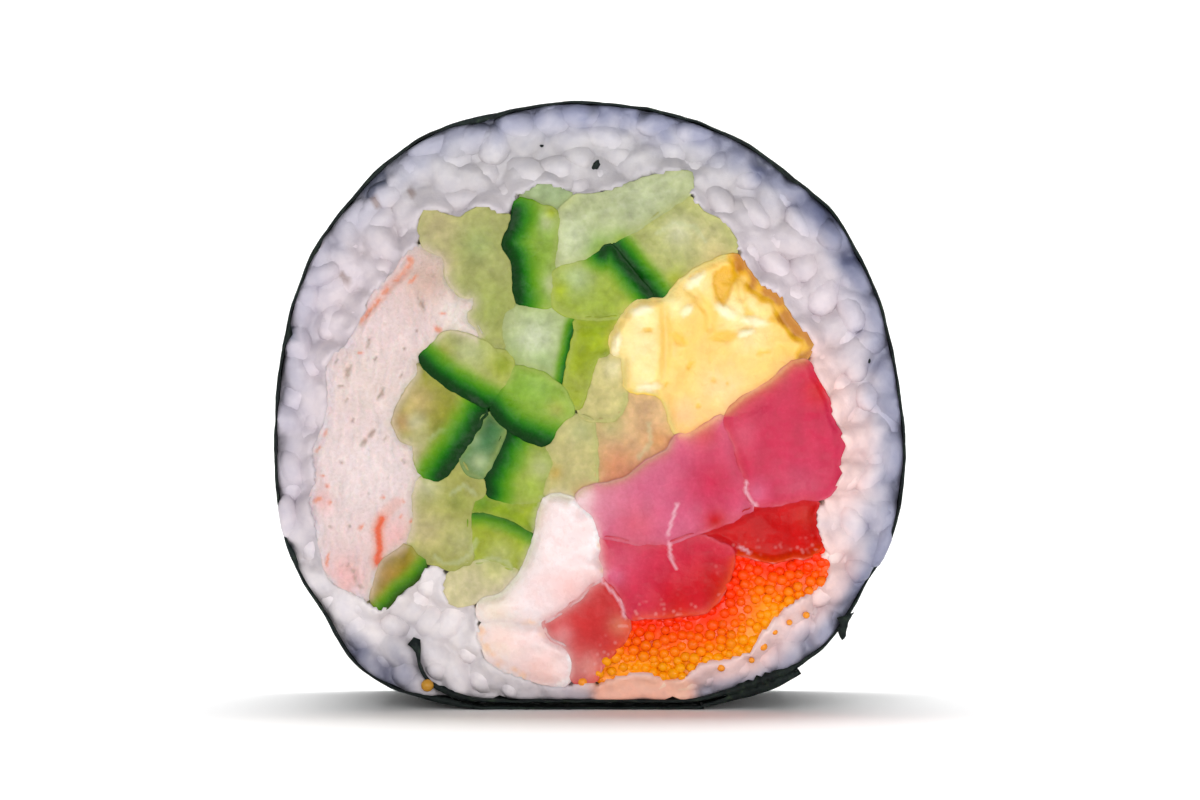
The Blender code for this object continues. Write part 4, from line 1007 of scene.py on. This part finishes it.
# Colour, its spots, how proud the face stands, and where there is skin its edge, width and strength
CUCUMBERS = {
    "core_upper": (
        (0.39, 0.4, 0.14), ((-9.5, 38.5, 3.0, (0.35, 0.4, 0.1)), (-14.5, 46.0, 2.2, (0.5, 0.44, 0.22)),
        (-14.2, 42.5, 1.2, (0.52, 0.44, 0.2)), (-10.6, 44.4, 1.6, (0.36, 0.42, 0.14))),
        -0.4),
    "strip_upright": (
        (0.26, 0.42, 0.05), ((-4.2, 46.6, 1.0, PALE), (-3.6, 40.6, 1.0, PALE), (-3.6, 47.4, 0.7, LIME)),
        0.2, ((-7.3, 47.2), (-7.6, 46.2), (-8.4, 44.4), (-7.4, 42.6), (-7.2, 40.2), (-7.0, 38.9)), 0.8),
    "chip": ((0.33, 0.42, 0.22), (), -0.5),
    "slab_top": (
        (0.48, 0.53, 0.28), ((0.8, 43.9, 1.5, LEAF), (-2.0, 45.2, 2.0, WHITISH),
        (5.0, 48.5, 3.5, (0.46, 0.51, 0.3)), (3.0, 44.6, 1.0, LEAF)),
        0.1),
    "slab_right": (
        (0.46, 0.48, 0.17), ((11.0, 45.0, 2.4, (0.56, 0.53, 0.24)), (8.4, 45.6, 1.4, (0.6, 0.6, 0.36)),
        (12.0, 43.4, 1.3, TAN), (8.2, 40.8, 1.2, (0.3, 0.38, 0.01))),
        -0.2, ((1.9, 44.5), (3.0, 43.1), (4.2, 41.6), (6.3, 39.0)), 0.62),
    "wedge_middle": (
        (0.34, 0.44, 0.05), ((-1.2, 41.2, 1.5, (0.44, 0.54, 0.24)), (-2.9, 40.0, 0.8, LIME)),
        0.0, ((1.2, 43.6), (1.9, 44.5), (3.0, 43.1), (4.2, 41.6), (6.3, 39.0)), 0.62),
    "strip_yellow": (
        (0.33, 0.42, 0.01), ((0.6, 36.8, 1.4, (0.27, 0.37, 0.004)), (-0.9, 31.0, 1.2, (0.4, 0.46, 0.06))),
        -0.3),
    "block": (
        (0.42, 0.52, 0.22), ((-5.4, 35.4, 2.0, (0.6, 0.66, 0.44)), (-7.6, 37.0, 1.2, PALE),
        (-4.4, 33.0, 1.2, (0.36, 0.47, 0.2)), (-7.4, 33.2, 1.3, (0.34, 0.44, 0.16))),
        0.25, ((-2.3, 30.6), (-1.8, 33.4), (-1.2, 36.3)), 0.42),
    "wedge_left": (
        (0.4, 0.43, 0.1), ((-11.4, 34.2, 1.8, (0.46, 0.5, 0.22)), (-14.4, 33.8, 0.9, (0.34, 0.26, 0.03)),
        (-8.2, 32.8, 1.0, LIME)),
        0.2, ((-16.3, 33.2), (-15.0, 31.9), (-12.2, 30.0), (-9.7, 28.7)), 0.72),
    "wedge_right": (
        (0.27, 0.46, 0.05), ((-5.2, 30.8, 1.2, (0.3, 0.5, 0.08)), (-3.2, 28.6, 1.0, (0.36, 0.4, 0.08)),
        (-7.4, 30.6, 1.2, (0.22, 0.42, 0.04))),
        0.3, ((-9.7, 28.7), (-8.0, 26.8), (-5.9, 25.7), (-4.2, 25.1)), 0.8),
    "strip_slant": (
        (0.27, 0.28, 0.025), ((-16.4, 29.4, 1.7, (0.52, 0.4, 0.15)),
        (-16.2, 25.6, 1.4, (0.46, 0.44, 0.18)), (-17.8, 27.4, 1.0, (0.5, 0.3, 0.09)),
        (-16.6, 27.4, 0.9, (0.58, 0.54, 0.3))),
        -0.1, ((-9.7, 28.7), (-11.2, 26.0), (-12.6, 24.0), (-14.0, 22.2)), 0.85),
    "sliver": (
        (0.05, 0.19, 0.06), ((-10.6, 23.6, 1.0, (0.4, 0.5, 0.26)), (-9.6, 27.6, 0.8, (0.02, 0.12, 0.04)),
        (-11.0, 25.6, 0.6, (0.22, 0.36, 0.18))),
        -0.4),
    "block_lower": (
        (0.34, 0.43, 0.07), ((-4.6, 23.0, 1.1, (0.46, 0.5, 0.2)), (-6.0, 20.8, 1.0, (0.34, 0.46, 0.06))),
        0.2, ((-10.0, 20.8), (-10.1, 22.0), (-9.0, 24.4), (-8.0, 26.8)), 0.9),
    "band": (
        (0.24, 0.36, 0.006), ((-10.4, 19.8, 0.9, (0.13, 0.3, 0.003)), (-6.0, 19.0, 1.0, LIME)),
        -0.1),
    "cap": (
        (0.36, 0.43, 0.03), ((-8.6, 14.8, 1.4, (0.44, 0.47, 0.14)), (-6.0, 15.6, 0.9, LIME)),
        0.1, ((-11.7, 19.5), (-9.8, 19.4), (-7.8, 18.9), (-5.2, 17.5)), 0.6, 0.9),
    "corner": (
        (0.3, 0.21, 0.01), ((-19.4, 13.0, 1.0, (0.4, 0.24, 0.05)),),
        -0.1, ((-14.9, 13.6), (-16.3, 11.9), (-17.8, 10.7), (-19.2, 9.2)), 0.55, 0.9),
    "core_left": (
        (0.38, 0.38, 0.1), ((-15.6, 17.0, 2.0, (0.56, 0.49, 0.23)), (-12.0, 16.0, 1.6, (0.5, 0.49, 0.2)),
        (-15.6, 21.4, 1.3, (0.56, 0.55, 0.3)), (-12.6, 19.8, 1.0, (0.34, 0.38, 0.08))),
        -0.2),
    "core_foot": ((0.66, 0.6, 0.34), ((-9.2, 13.4, 1.2, (0.54, 0.54, 0.22)),), -0.3),
    "core_inner": (
        (0.58, 0.52, 0.22), ((-0.8, 26.6, 1.3, (0.5, 0.5, 0.22)), (-3.4, 22.6, 0.7, (0.55, 0.36, 0.08))),
        -0.2),
    "core_right": ((0.62, 0.55, 0.23), ((2.4, 32.6, 1.0, (0.72, 0.66, 0.38)),), -0.3),
    "core_blush": (
        (0.68, 0.43, 0.22), ((2.6, 23.0, 2.2, (0.66, 0.28, 0.14)), (6.6, 25.6, 1.3, (0.72, 0.36, 0.14)),
        (2.0, 27.0, 1.3, (0.6, 0.5, 0.22))),
        -0.4),
}


def cucumber(name, base, spots, proud, skin=(), width=1, strength=1):
    """One stick or slice: its colour, the colour's spots, how proud it stands, and where its skin is."""
    def relief(points, depth, side):
        out = crowned(points, depth, 0.5 * proud, 0.1, 0.22, 2.4, 80.0 + side)
        return out + 0.07 * soft_noise(points, 0.8, 83.0 + side)

    def paint(points, depth, soak):
        colour = washes(points, base, spots)
        colour *= (1 + 0.27 * soft_noise(points, 1.5, 86.0) + 0.2 * soft_noise(points, 0.6, 87.0))[:, None]
        colour = layered(soak(colour), *strokes(points, CUCUMBER_VEINS, WHITISH, 0.35, 0.22))
        if skin:
            away = off_line(points, skin, False) / width + 0.22 * soft_noise(points, 1.2, 88.0)
            stops, colours = zip(*SKIN_RAMP)
            green = np.stack([np.interp(away, stops, channel) for channel in zip(*colours)], axis=1)
            colour = blend(colour, green, strength * smooth(*SKIN_FADE, away))
        return colour
    stick("cucumber_" + name, relief, paint, pulp, "cucumber", "cucumber_" + name + "_cut")


pulp = flesh("cucumber", (0.5, 4.0, 0.6), ((0.32, (0.64, 0.66, 0.56)), (0.66, (0.84, 0.8, 0.84))), 0.55,
             0.07, (0.16, 0.34), broad=(2.0, 0.25), glow=(0.8, 1.0, 0.3), Subsurface_Weight=0.1,
             Subsurface_Scale=0.6 * MM, Specular_IOR_Level=0.08, Coat_Weight=0.05, Coat_Roughness=0.1)
for name, values in CUCUMBERS.items():
    cucumber(name, *values)

# Omelette
# Sweet egg cooked in thin sheets and rolled: soft yellow folds with small hollows, and a browned skin
# on the side towards the rice.

EGG = (0.96, 0.6, 0.13)
EGG_LIGHT = (0.97, 0.7, 0.29)
EGG_PALE = (0.97, 0.78, 0.38)
EGG_AMBER = (0.78, 0.43, 0.001)
EGG_DEEP = (0.92, 0.6, 0.1)
EGG_STREAK = (0.86, 0.52, 0.02)
EGG_SKIN = (0.46, 0.16, 0.008)
EGG_HOLE = (
    (11.7, 41.6), (12.8, 42.3), (14.1, 42.1), (14.2, 41.1), (13.6, 40.5), (13.3, 39.5), (12.7, 38.6),
    (12.0, 39.1), (11.7, 40.4))
EGG_STREAKS = (
    (8.4, 35.3, 2.0, 0.9, -35), (12.8, 35.6, 2.8, 1.1, 5), (15.2, 37.6, 2.4, 0.9, -62),
    (16.5, 34.0, 1.5, 0.5, 15), (10.0, 41.5, 1.4, 0.5, 25), (5.3, 29.9, 3.0, 0.6, -10),
    (5.5, 36.2, 1.1, 0.5, 5), (9.5, 32.8, 0.9, 0.6, 60), (11.7, 31.4, 0.5, 0.35, 0),
    (13.1, 31.1, 0.5, 0.35, -30), (10.3, 28.9, 0.6, 0.5, 30), (7.3, 31.0, 0.7, 0.3, 40),
    (3.8, 30.2, 0.5, 0.4, 0))
# Raised facets of the folds, painted with a highlight: x, z, length, width, lie in degrees
EGG_FACETS = (
    (10.0, 40.9, 2.4, 1.0, 40), (12.9, 37.9, 2.4, 1.1, -35), (2.5, 34.8, 2.4, 0.8, 80),
    (5.6, 30.7, 2.4, 0.8, 8), (4.9, 38.0, 2.2, 1.0, 10), (15.6, 37.0, 2.6, 0.9, -12),
    (9.2, 38.0, 1.4, 0.9, 40), (14.8, 35.9, 1.8, 0.7, 15))
EGG_FOLDS = (
    ((6.9, 38.2), (7.2, 36.6), (7.2, 34.4), (7.0, 32.6), (6.6, 30.9)),
    ((9.2, 40.4), (10.4, 39.0), (11.5, 37.6), (11.4, 36.4)), ((13.9, 42.6), (14.3, 40.6), (14.5, 39.2)))
# Painted highlight on the facets
EGG_HIGHLIGHT = (0.97, 0.9, 0.66)
EGG_SPOTS = (
    (4.6, 34.4, 2.6, EGG_PALE), (5.4, 31.6, 1.6, EGG_PALE), (7.4, 38.6, 1.0, EGG_LIGHT),
    (14.4, 37.8, 2.2, EGG_PALE), (15.4, 35.4, 1.8, EGG_LIGHT), (10.0, 40.6, 1.4, EGG_PALE),
    (5.0, 37.4, 1.5, EGG_PALE), (9.0, 28.2, 1.8, (0.95, 0.54, 0.22)),
    (12.6, 30.6, 2.6, (0.98, 0.65, 0.28)), (8.0, 38.4, 1.2, (0.92, 0.8, 0.36)),
    (13.2, 43.6, 1.0, (0.86, 0.74, 0.28)))
EGG_SKIN_LINE = (
    (14.1, 43.4), (15.0, 41.8), (16.2, 40.4), (18.0, 39.5), (18.9, 37.6), (20.0, 36.2), (21.3, 35.4),
    (20.7, 33.4))


def off_egg_skin(points):
    return off_line(points, EGG_SKIN_LINE, False)


def egg_relief(points, depth, side):
    out = crowned(points, depth, 0.1, 0.25, 0.3, 3.2, 90.0 + side) + 0.12 * soft_noise(points, 1.1, 92.0)
    out += 0.4 * smooth(7.2, 6.6, points[:, 0])
    out += 0.25 * spot(points, 10.2, 38.4, 1.7) + 0.2 * spot(points, 14.6, 36.0, 1.6)
    for fold in EGG_FOLDS:
        out -= 0.2 * stroke(points, fold, 0.4)
    out -= 0.35 * patch(points, EGG_HOLE) + 0.15 * marks(points, EGG_STREAKS)
    return out + 0.25 * marks(points, EGG_FACETS) - 0.4 * smooth(1.3, 0.7, off_egg_skin(points))


def egg_paint(points, depth, soak):
    colour = washes(points, EGG, EGG_SPOTS)
    colour = soak(colour * (1 + 0.12 * soft_noise(points, 1.3, 94.0))[:, None])
    skin = off_egg_skin(points) + 1.1 * soft_noise(points, 1.3, 95.0)
    return layered(
        colour,
        (EGG_DEEP, 0.4 * sum(stroke(points, fold, 0.7) for fold in EGG_FOLDS)),
        (EGG_STREAK, 0.7 * marks(points, EGG_STREAKS)),
        # painted highlight on the facets
        (EGG_HIGHLIGHT, 0.75 * marks(points, EGG_FACETS)),
        (EGG_AMBER, 0.95 * patch(points, EGG_HOLE)),
        (EGG_AMBER, 0.95 * smooth(1.5, 0.9, skin)),
        (EGG_SKIN, 0.85 * smooth(0.9, 0.4, skin)))


egg = flesh("omelette", (0.6, 4.0, 0.6), ((0.32, (0.94, 0.86, 0.7)), (0.62, (1.0, 1.0, 1.0))), 0.5, 0.12,
            (0.3, 0.5), glow=(1.0, 0.7, 0.25), Subsurface_Weight=0.35, Subsurface_Scale=1.0 * MM,
            Specular_IOR_Level=0.45, Coat_Weight=0.15, Coat_Roughness=0.2)
stick("omelette", egg_relief, egg_paint, egg, "omelette", "omelette_cut")

# Tuna
# Raw lean tuna in thick strips: wet, glassy and close-grained, from rose pink where light passes
# through to deep red where it lies thick, with thin white sinews.

ROSE = (0.7, 0.135, 0.25)
CRIMSON = (0.63, 0.028, 0.085)
LILAC = (0.73, 0.21, 0.31)
DEEP_RED = (0.6, 0.0004, 0.001)
BRICK = (0.65, 0.035, 0.035)
# Used for the sinews and for a painted highlight along the strips' edges
PALE_SINEW_AND_HIGHLIGHT = (0.9, 0.55, 0.62)
TUNA_SPECK = (0.92, 0.55, 0.52)
TUNAS = {
    "tuna_right": (
        CRIMSON, ((15.8, 20.6, 1.3, ROSE), (21.8, 30.4, 1.6, (0.66, 0.02, 0.03)),
        (20.0, 21.6, 2.5, (0.64, 0.07, 0.14)), (14.6, 26.0, 1.5, (0.7, 0.09, 0.16))),
        0.3),
    "tuna_upper": (
        ROSE, ((12.0, 21.8, 3.6, CRIMSON), (1.5, 19.6, 2.4, LILAC), (-0.6, 20.2, 1.2, (0.9, 0.62, 0.64)),
        (4.5, 17.6, 2.0, (0.72, 0.13, 0.2)), (11.0, 26.2, 1.6, (0.68, 0.06, 0.1)),
        (12.0, 17.9, 1.2, DEEP_RED)),
        0.0),
    "tuna_dark": (
        DEEP_RED, ((20.6, 18.4, 1.0, (0.62, 0.02, 0.01)), (16.0, 18.6, 1.2, (0.56, 0.001, 0.003))),
        -0.5),
    "tuna_middle": (
        (0.67, 0.025, 0.07), ((3.0, 14.6, 2.4, (0.7, 0.07, 0.14)), (12.0, 12.0, 3.2, DEEP_RED),
        (8.5, 10.4, 2.4, (0.66, 0.004, 0.012)), (2.2, 12.6, 1.0, ROSE)),
        0.1),
    "tuna_foot": (
        BRICK, ((0.0, 4.0, 1.4, (0.82, 0.3, 0.26)), (-2.6, 7.2, 1.0, (0.78, 0.24, 0.24)),
        (2.8, 8.0, 1.0, (0.78, 0.2, 0.12))),
        -0.1),
}
TUNA_SINEWS = (
    ((8.3, 19.6), (7.8, 18.0), (7.4, 16.6)), ((7.6, 15.8), (7.6, 14.8), (8.2, 13.4)),
    ((14.9, 21.8), (14.8, 20.8), (15.7, 19.5)), ((0.9, 12.6), (1.8, 11.6), (3.0, 10.2), (3.3, 8.8)),
    ((15.2, 15.0), (14.2, 15.5)))


def tuna(name, base, spots, proud):
    """One strip of tuna: its colour, the colour's spots, and how proud it stands."""
    def relief(points, depth, side):
        out = crowned(points, depth, proud, 0.15, 0.25, 4.0, 100.0 + side)
        out += 0.05 * soft_noise(points, 0.9, 102.0)
        return out + 0.07 * sum(stroke(points, line, 0.2) for line in TUNA_SINEWS)

    def paint(points, depth, soak):
        colour = washes(points, base, spots)
        colour = soak(colour * (1 + 0.14 * soft_noise(points * (1, 0.5), 1.2, 104.0))[:, None])
        # A painted highlight along the strip's edges, in the pale sinew colour
        edge = smooth(0.35, 0.0, depth) * smooth(-0.1, 0.3, soft_noise(points, 1.6, 106.0))
        specks = smooth(0.36, 0.5, soft_noise(points, 0.3, 107.0))
        specks *= smooth(2.4, 0.4, off_fillings(points, "roe"))
        return layered(colour, (PALE_SINEW_AND_HIGHLIGHT, 0.12 * edge), *strokes(points, TUNA_SINEWS, PALE_SINEW_AND_HIGHLIGHT, 0.7, 0.15),
                       (TUNA_SPECK, 0.35 * specks))
    stick(name, relief, paint, tuna_flesh, "tuna", name + "_cut")


tuna_flesh = flesh("tuna", (0.4, 4.0, 0.6), ((0.32, (0.66, 0.56, 0.58)), (0.62, (0.8, 0.8, 0.84))), 0.5,
                   0.05, (0.15, 0.3), broad=(2.6, 0.22), glow=(1.0, 0.25, 0.25), Subsurface_Weight=0.15,
                   Subsurface_Scale=0.8 * MM, Specular_IOR_Level=0.08, Coat_Weight=0.06, Coat_Roughness=0.1)
for name, (base, spots, proud) in TUNAS.items():
    tuna(name, base, spots, proud)

# Prawn
# Two bits of cooked prawn, cut across: firm and white, with a pearly rim and a trace of orange skin.

PRAWN_WHITE = (0.86, 0.73, 0.73)
PRAWN_PINK = (0.93, 0.62, 0.6)
PRAWN_ORANGE = (0.95, 0.55, 0.28)
PRAWN_PEARL = (0.97, 0.9, 0.9)
PRAWN_SPOTS = (
    (-4.6, 3.8, 2.2, (0.9, 0.6, 0.55)), (-2.0, 11.6, 1.8, PRAWN_PINK),
    (-8.6, 6.4, 1.8, (0.95, 0.74, 0.64)), (-9.0, 9.2, 1.6, (0.88, 0.76, 0.64)),
    (0.2, 16.0, 1.0, (0.93, 0.84, 0.84)))
PRAWN_RIMS = (
    ((0.8, 15.4), (0.6, 17.2), (-0.2, 18.8), (-1.6, 19.8)),
    ((-1.9, 5.0), (-1.7, 4.0), (-2.1, 2.9), (-3.0, 2.3)))
PRAWN_SKINS = (
    ((-10.4, 7.6), (-9.8, 5.6), (-8.4, 4.2), (-6.4, 3.3)), ((-6.0, 8.3), (-5.0, 7.8), (-4.4, 7.2)),
    ((0.9, 15.6), (1.2, 14.6), (1.3, 13.4)))


def prawn_relief(points, depth, side):
    out = crowned(points, depth, 0.05, 0.6, 0.25, 3.0, 110.0 + side, 1.2)
    out += 0.06 * soft_noise(points, 1.0, 112.0)
    return out + 0.2 * sum(stroke(points, line, 0.35) for line in PRAWN_RIMS)


def prawn_paint(points, depth, soak):
    colour = washes(points, PRAWN_WHITE, PRAWN_SPOTS)
    colour = soak(blend(colour, PRAWN_PINK, 0.35 * smooth(-0.1, 0.4, soft_noise(points, 2.0, 114.0))))
    worn = smooth(-0.2, 0.3, soft_noise(points, 0.9, 115.0))
    return layered(colour, *strokes(points, PRAWN_RIMS, PRAWN_PEARL, 0.8, 0.3),
                   *strokes(points, PRAWN_SKINS, PRAWN_ORANGE, 0.6 * worn, 0.4))


prawn = flesh("prawn", (0.8, 4.0, 0.6), ((0.32, (0.95, 0.86, 0.84)), (0.62, (1.0, 1.0, 1.0))), 0.4, 0.08,
              (0.2, 0.36), glow=(1.0, 0.7, 0.6), Subsurface_Weight=0.5, Subsurface_Scale=1.4 * MM,
              Specular_IOR_Level=0.5, Coat_Weight=0.3, Coat_Roughness=0.12)
for node in ("prawn_upper", "prawn_lower"):
    stick(node, prawn_relief, prawn_paint, prawn, "prawn", node + "_cut")

# Roe
# Flying-fish roe: orange beads well under a millimetre across, wet and see-through, heaped along the
# fish, with a few strays in the rice.

ROE_SEED = 31
BEAD_SIDES = 9
BEAD_RINGS = 6
BEAD_TRIES = 3500
BEAD_SPREAD = (0.9, 1.3)
BEAD_LAYERS = ((0.68, 0.35), (0.74, 0.0))  # spacing, and how deep the layer lies
BEADS_SINK = 0.45
ROE_ORANGE = (1.0, 0.12, 0.0005)
ROE_YELLOW = (1.0, 0.4, 0.001)
ROE_RED = (0.98, 0.018, 0.0005)
STRAY_ORANGE = (0.95, 0.34, 0.03)
OLD_BEAD = (0.55, 0.27, 0.03)  # the one by the tail of the seaweed
STRAYS = (
    (16.5, 6.0, 0.42), (12.5, 4.0, 0.4), (15.4, 4.7, 0.3), (20.6, 9.0, 0.35), (19.0, 8.3, 0.3),
    (17.6, 7.4, 0.3), (-15.5, 2.3, 0.62), (-0.7, 2.6, 0.5))


def roe_tint(points, painted_light):
    """Yellow-orange away from the fish, red beside it, and painted lighter where a bead stands out."""
    fish = off_fillings(points, "tuna_middle", "tuna_dark")
    return layered(
        np.tile(np.array(ROE_ORANGE), (len(points), 1)),
        (ROE_YELLOW, smooth(2.2, 5.0, fish) * 0.8 + 0.15 * painted_light),
        (ROE_RED, 0.9 * smooth(2.6, 0.4, fish)))


def heap_roe():
    rng = random.Random(ROE_SEED)
    line = resampled(moved_in(cut_outline("roe"), -GROW), 0.5)
    plan, triangles, rim = cut_face(line, FACE_GRIDS["roe"])
    shape, shape_faces = ball(BEAD_SIDES, BEAD_RINGS)
    heap = Heap()
    for side in (-1, 1):
        out = 0.3 * soft_noise(plan, 1.2, 120.0 + side) - BEADS_SINK
        tint = roe_tint(plan, np.zeros(len(plan)))
        heap.add(through(plan, side * (CUT + out)), [t[::-side] for t in triangles], tint)
    heap.faces += joined([rim, [i + len(plan) for i in rim]])
    low, high = line.min(0), line.max(0)
    for side in (-1, 1):
        for layer, (spacing, sink) in enumerate(BEAD_LAYERS):
            tries = np.array([(rng.uniform(low[0], high[0]), rng.uniform(low[1], high[1]))
                              for _ in range(BEAD_TRIES)])
            tries = tries[inside(tries, line)]
            tries = tries[off_line(tries, line) > 0.2]
            kept = np.array(thinned(rng, tries, spacing, BEAD_SPREAD))
            for p, rise in zip(kept, soft_noise(kept, 2.6, 124.0 + layer)):
                if layer and rise < -0.45:
                    continue
                radius = rng.uniform(0.42, 0.6)
                y = side * (CUT - sink - BEADS_SINK + 0.4 * rise + rng.uniform(-0.1, 0.1))
                # Beads that stand further out get painted light
                tint = roe_tint(p[None], np.array([rise + 0.3 * layer])) * rng.uniform(0.94, 1.05)
                bead = shape * radius + through(p[None], np.array([y]))
                heap.add(bead, shape_faces, np.repeat(tint, len(shape), axis=0))
    for x, z, radius in STRAYS:
        tint = STRAY_ORANGE if x > -2 else OLD_BEAD
        heap.add(shape * radius + (x, 0.1 - CUT, z), shape_faces, np.tile(np.array(tint), (len(shape), 1)))
    verts, faces, tints = heap.mesh()
    return verts, faces, np.minimum(tints, 1.0)


bead = flesh("roe", (0.5, 3.0), ((0.3, (0.97, 0.8, 0.6)), (0.6, (1.0, 1.0, 1.0))), 0.5, 0.03, (0.1, 0.24),
             Specular_IOR_Level=0.15, Coat_Weight=0.18, Coat_Roughness=0.08)
verts, faces, tints = heap_roe()
make_piece("roe_beads", verts, faces, bead, ["roe"], tints)

# Table, light and camera
# A plain pale sweep, a big soft light above and in front, and a long lens square to the cut.

FACE_WIDTH = 114.3  # what the picture's width takes in at the cut
LENS = 100.0
SENSOR = 36.0
LENS_AT = (0.95, 29.5)  # x, z
ROOM_LIGHT = 0.17
# Name, size, power, place, aim
LIGHTS = (
    ("key", (420, 300), 0.65, (-150, -380, 180), (0, 0, 28)),
    ("fill", (360, 110), 0.52, (130, -360, 60), (0, 0, 6)),
    ("back", (900, 300), 6.5, (0, 200, 620), (0, 340, 80)))


def pale_sweep():
    profile = [(-600.0, 0.0), (350.0, 0.0)]
    profile += [(350 + 250 * math.sin(a), 250 - 250 * math.cos(a)) for a in np.radians(np.arange(5, 91, 5))]
    profile.append((600.0, 900.0))
    verts = [(x, y, z - 0.02) for y, z in profile for x in (-900.0, 900.0)]
    faces = [(2 * i, 2 * i + 1, 2 * i + 3, 2 * i + 2) for i in range(len(profile) - 1)]
    mesh = bpy.data.meshes.new("sweep")
    mesh.from_pydata((np.array(verts) * MM).tolist(), [], faces)
    mesh.shade_smooth()
    look = Look("sweep", Roughness=0.9, Specular_IOR_Level=0.1)
    colour = look.ramp(look.noise(300.0, 2.0), (0.3, (0.93, 0.93, 0.93)), (0.7, (0.95, 0.95, 0.95)))
    mesh.materials.append(look.wear(colour))
    sweep = put("sweep", mesh)


def soft_light(name, size, power, place, aim):
    lamp = bpy.data.lights.new(name, "AREA")
    lamp.shape = "RECTANGLE"
    lamp.size, lamp.size_y = size[0] * MM, size[1] * MM
    lamp.energy = power
    made = put(name, lamp)
    made.location = Vector(place) * MM
    made.rotation_euler = (Vector(aim) - Vector(place)).to_track_quat("-Z", "Y").to_euler()


def light_room():
    world = bpy.data.worlds.new("room")
    world.use_nodes = True
    sky = world.node_tree.nodes["Background"].inputs
    sky["Color"].default_value = (1.0, 1.0, 1.0, 1.0)
    sky["Strength"].default_value = ROOM_LIGHT
    bpy.context.scene.world = world
    for light in LIGHTS:
        soft_light(*light)
    bpy.context.scene.view_settings.view_transform = "Standard"


def set_camera():
    lens = bpy.data.cameras.new("camera")
    lens.lens = LENS
    lens.sensor_width = SENSOR
    made = put("camera", lens)
    made.location = Vector((LENS_AT[0], -CUT - FACE_WIDTH * LENS / SENSOR, LENS_AT[1])) * MM
    made.rotation_euler = (math.radians(90), 0, 0)
    bpy.context.scene.camera = made


pale_sweep()
light_room()
set_camera()
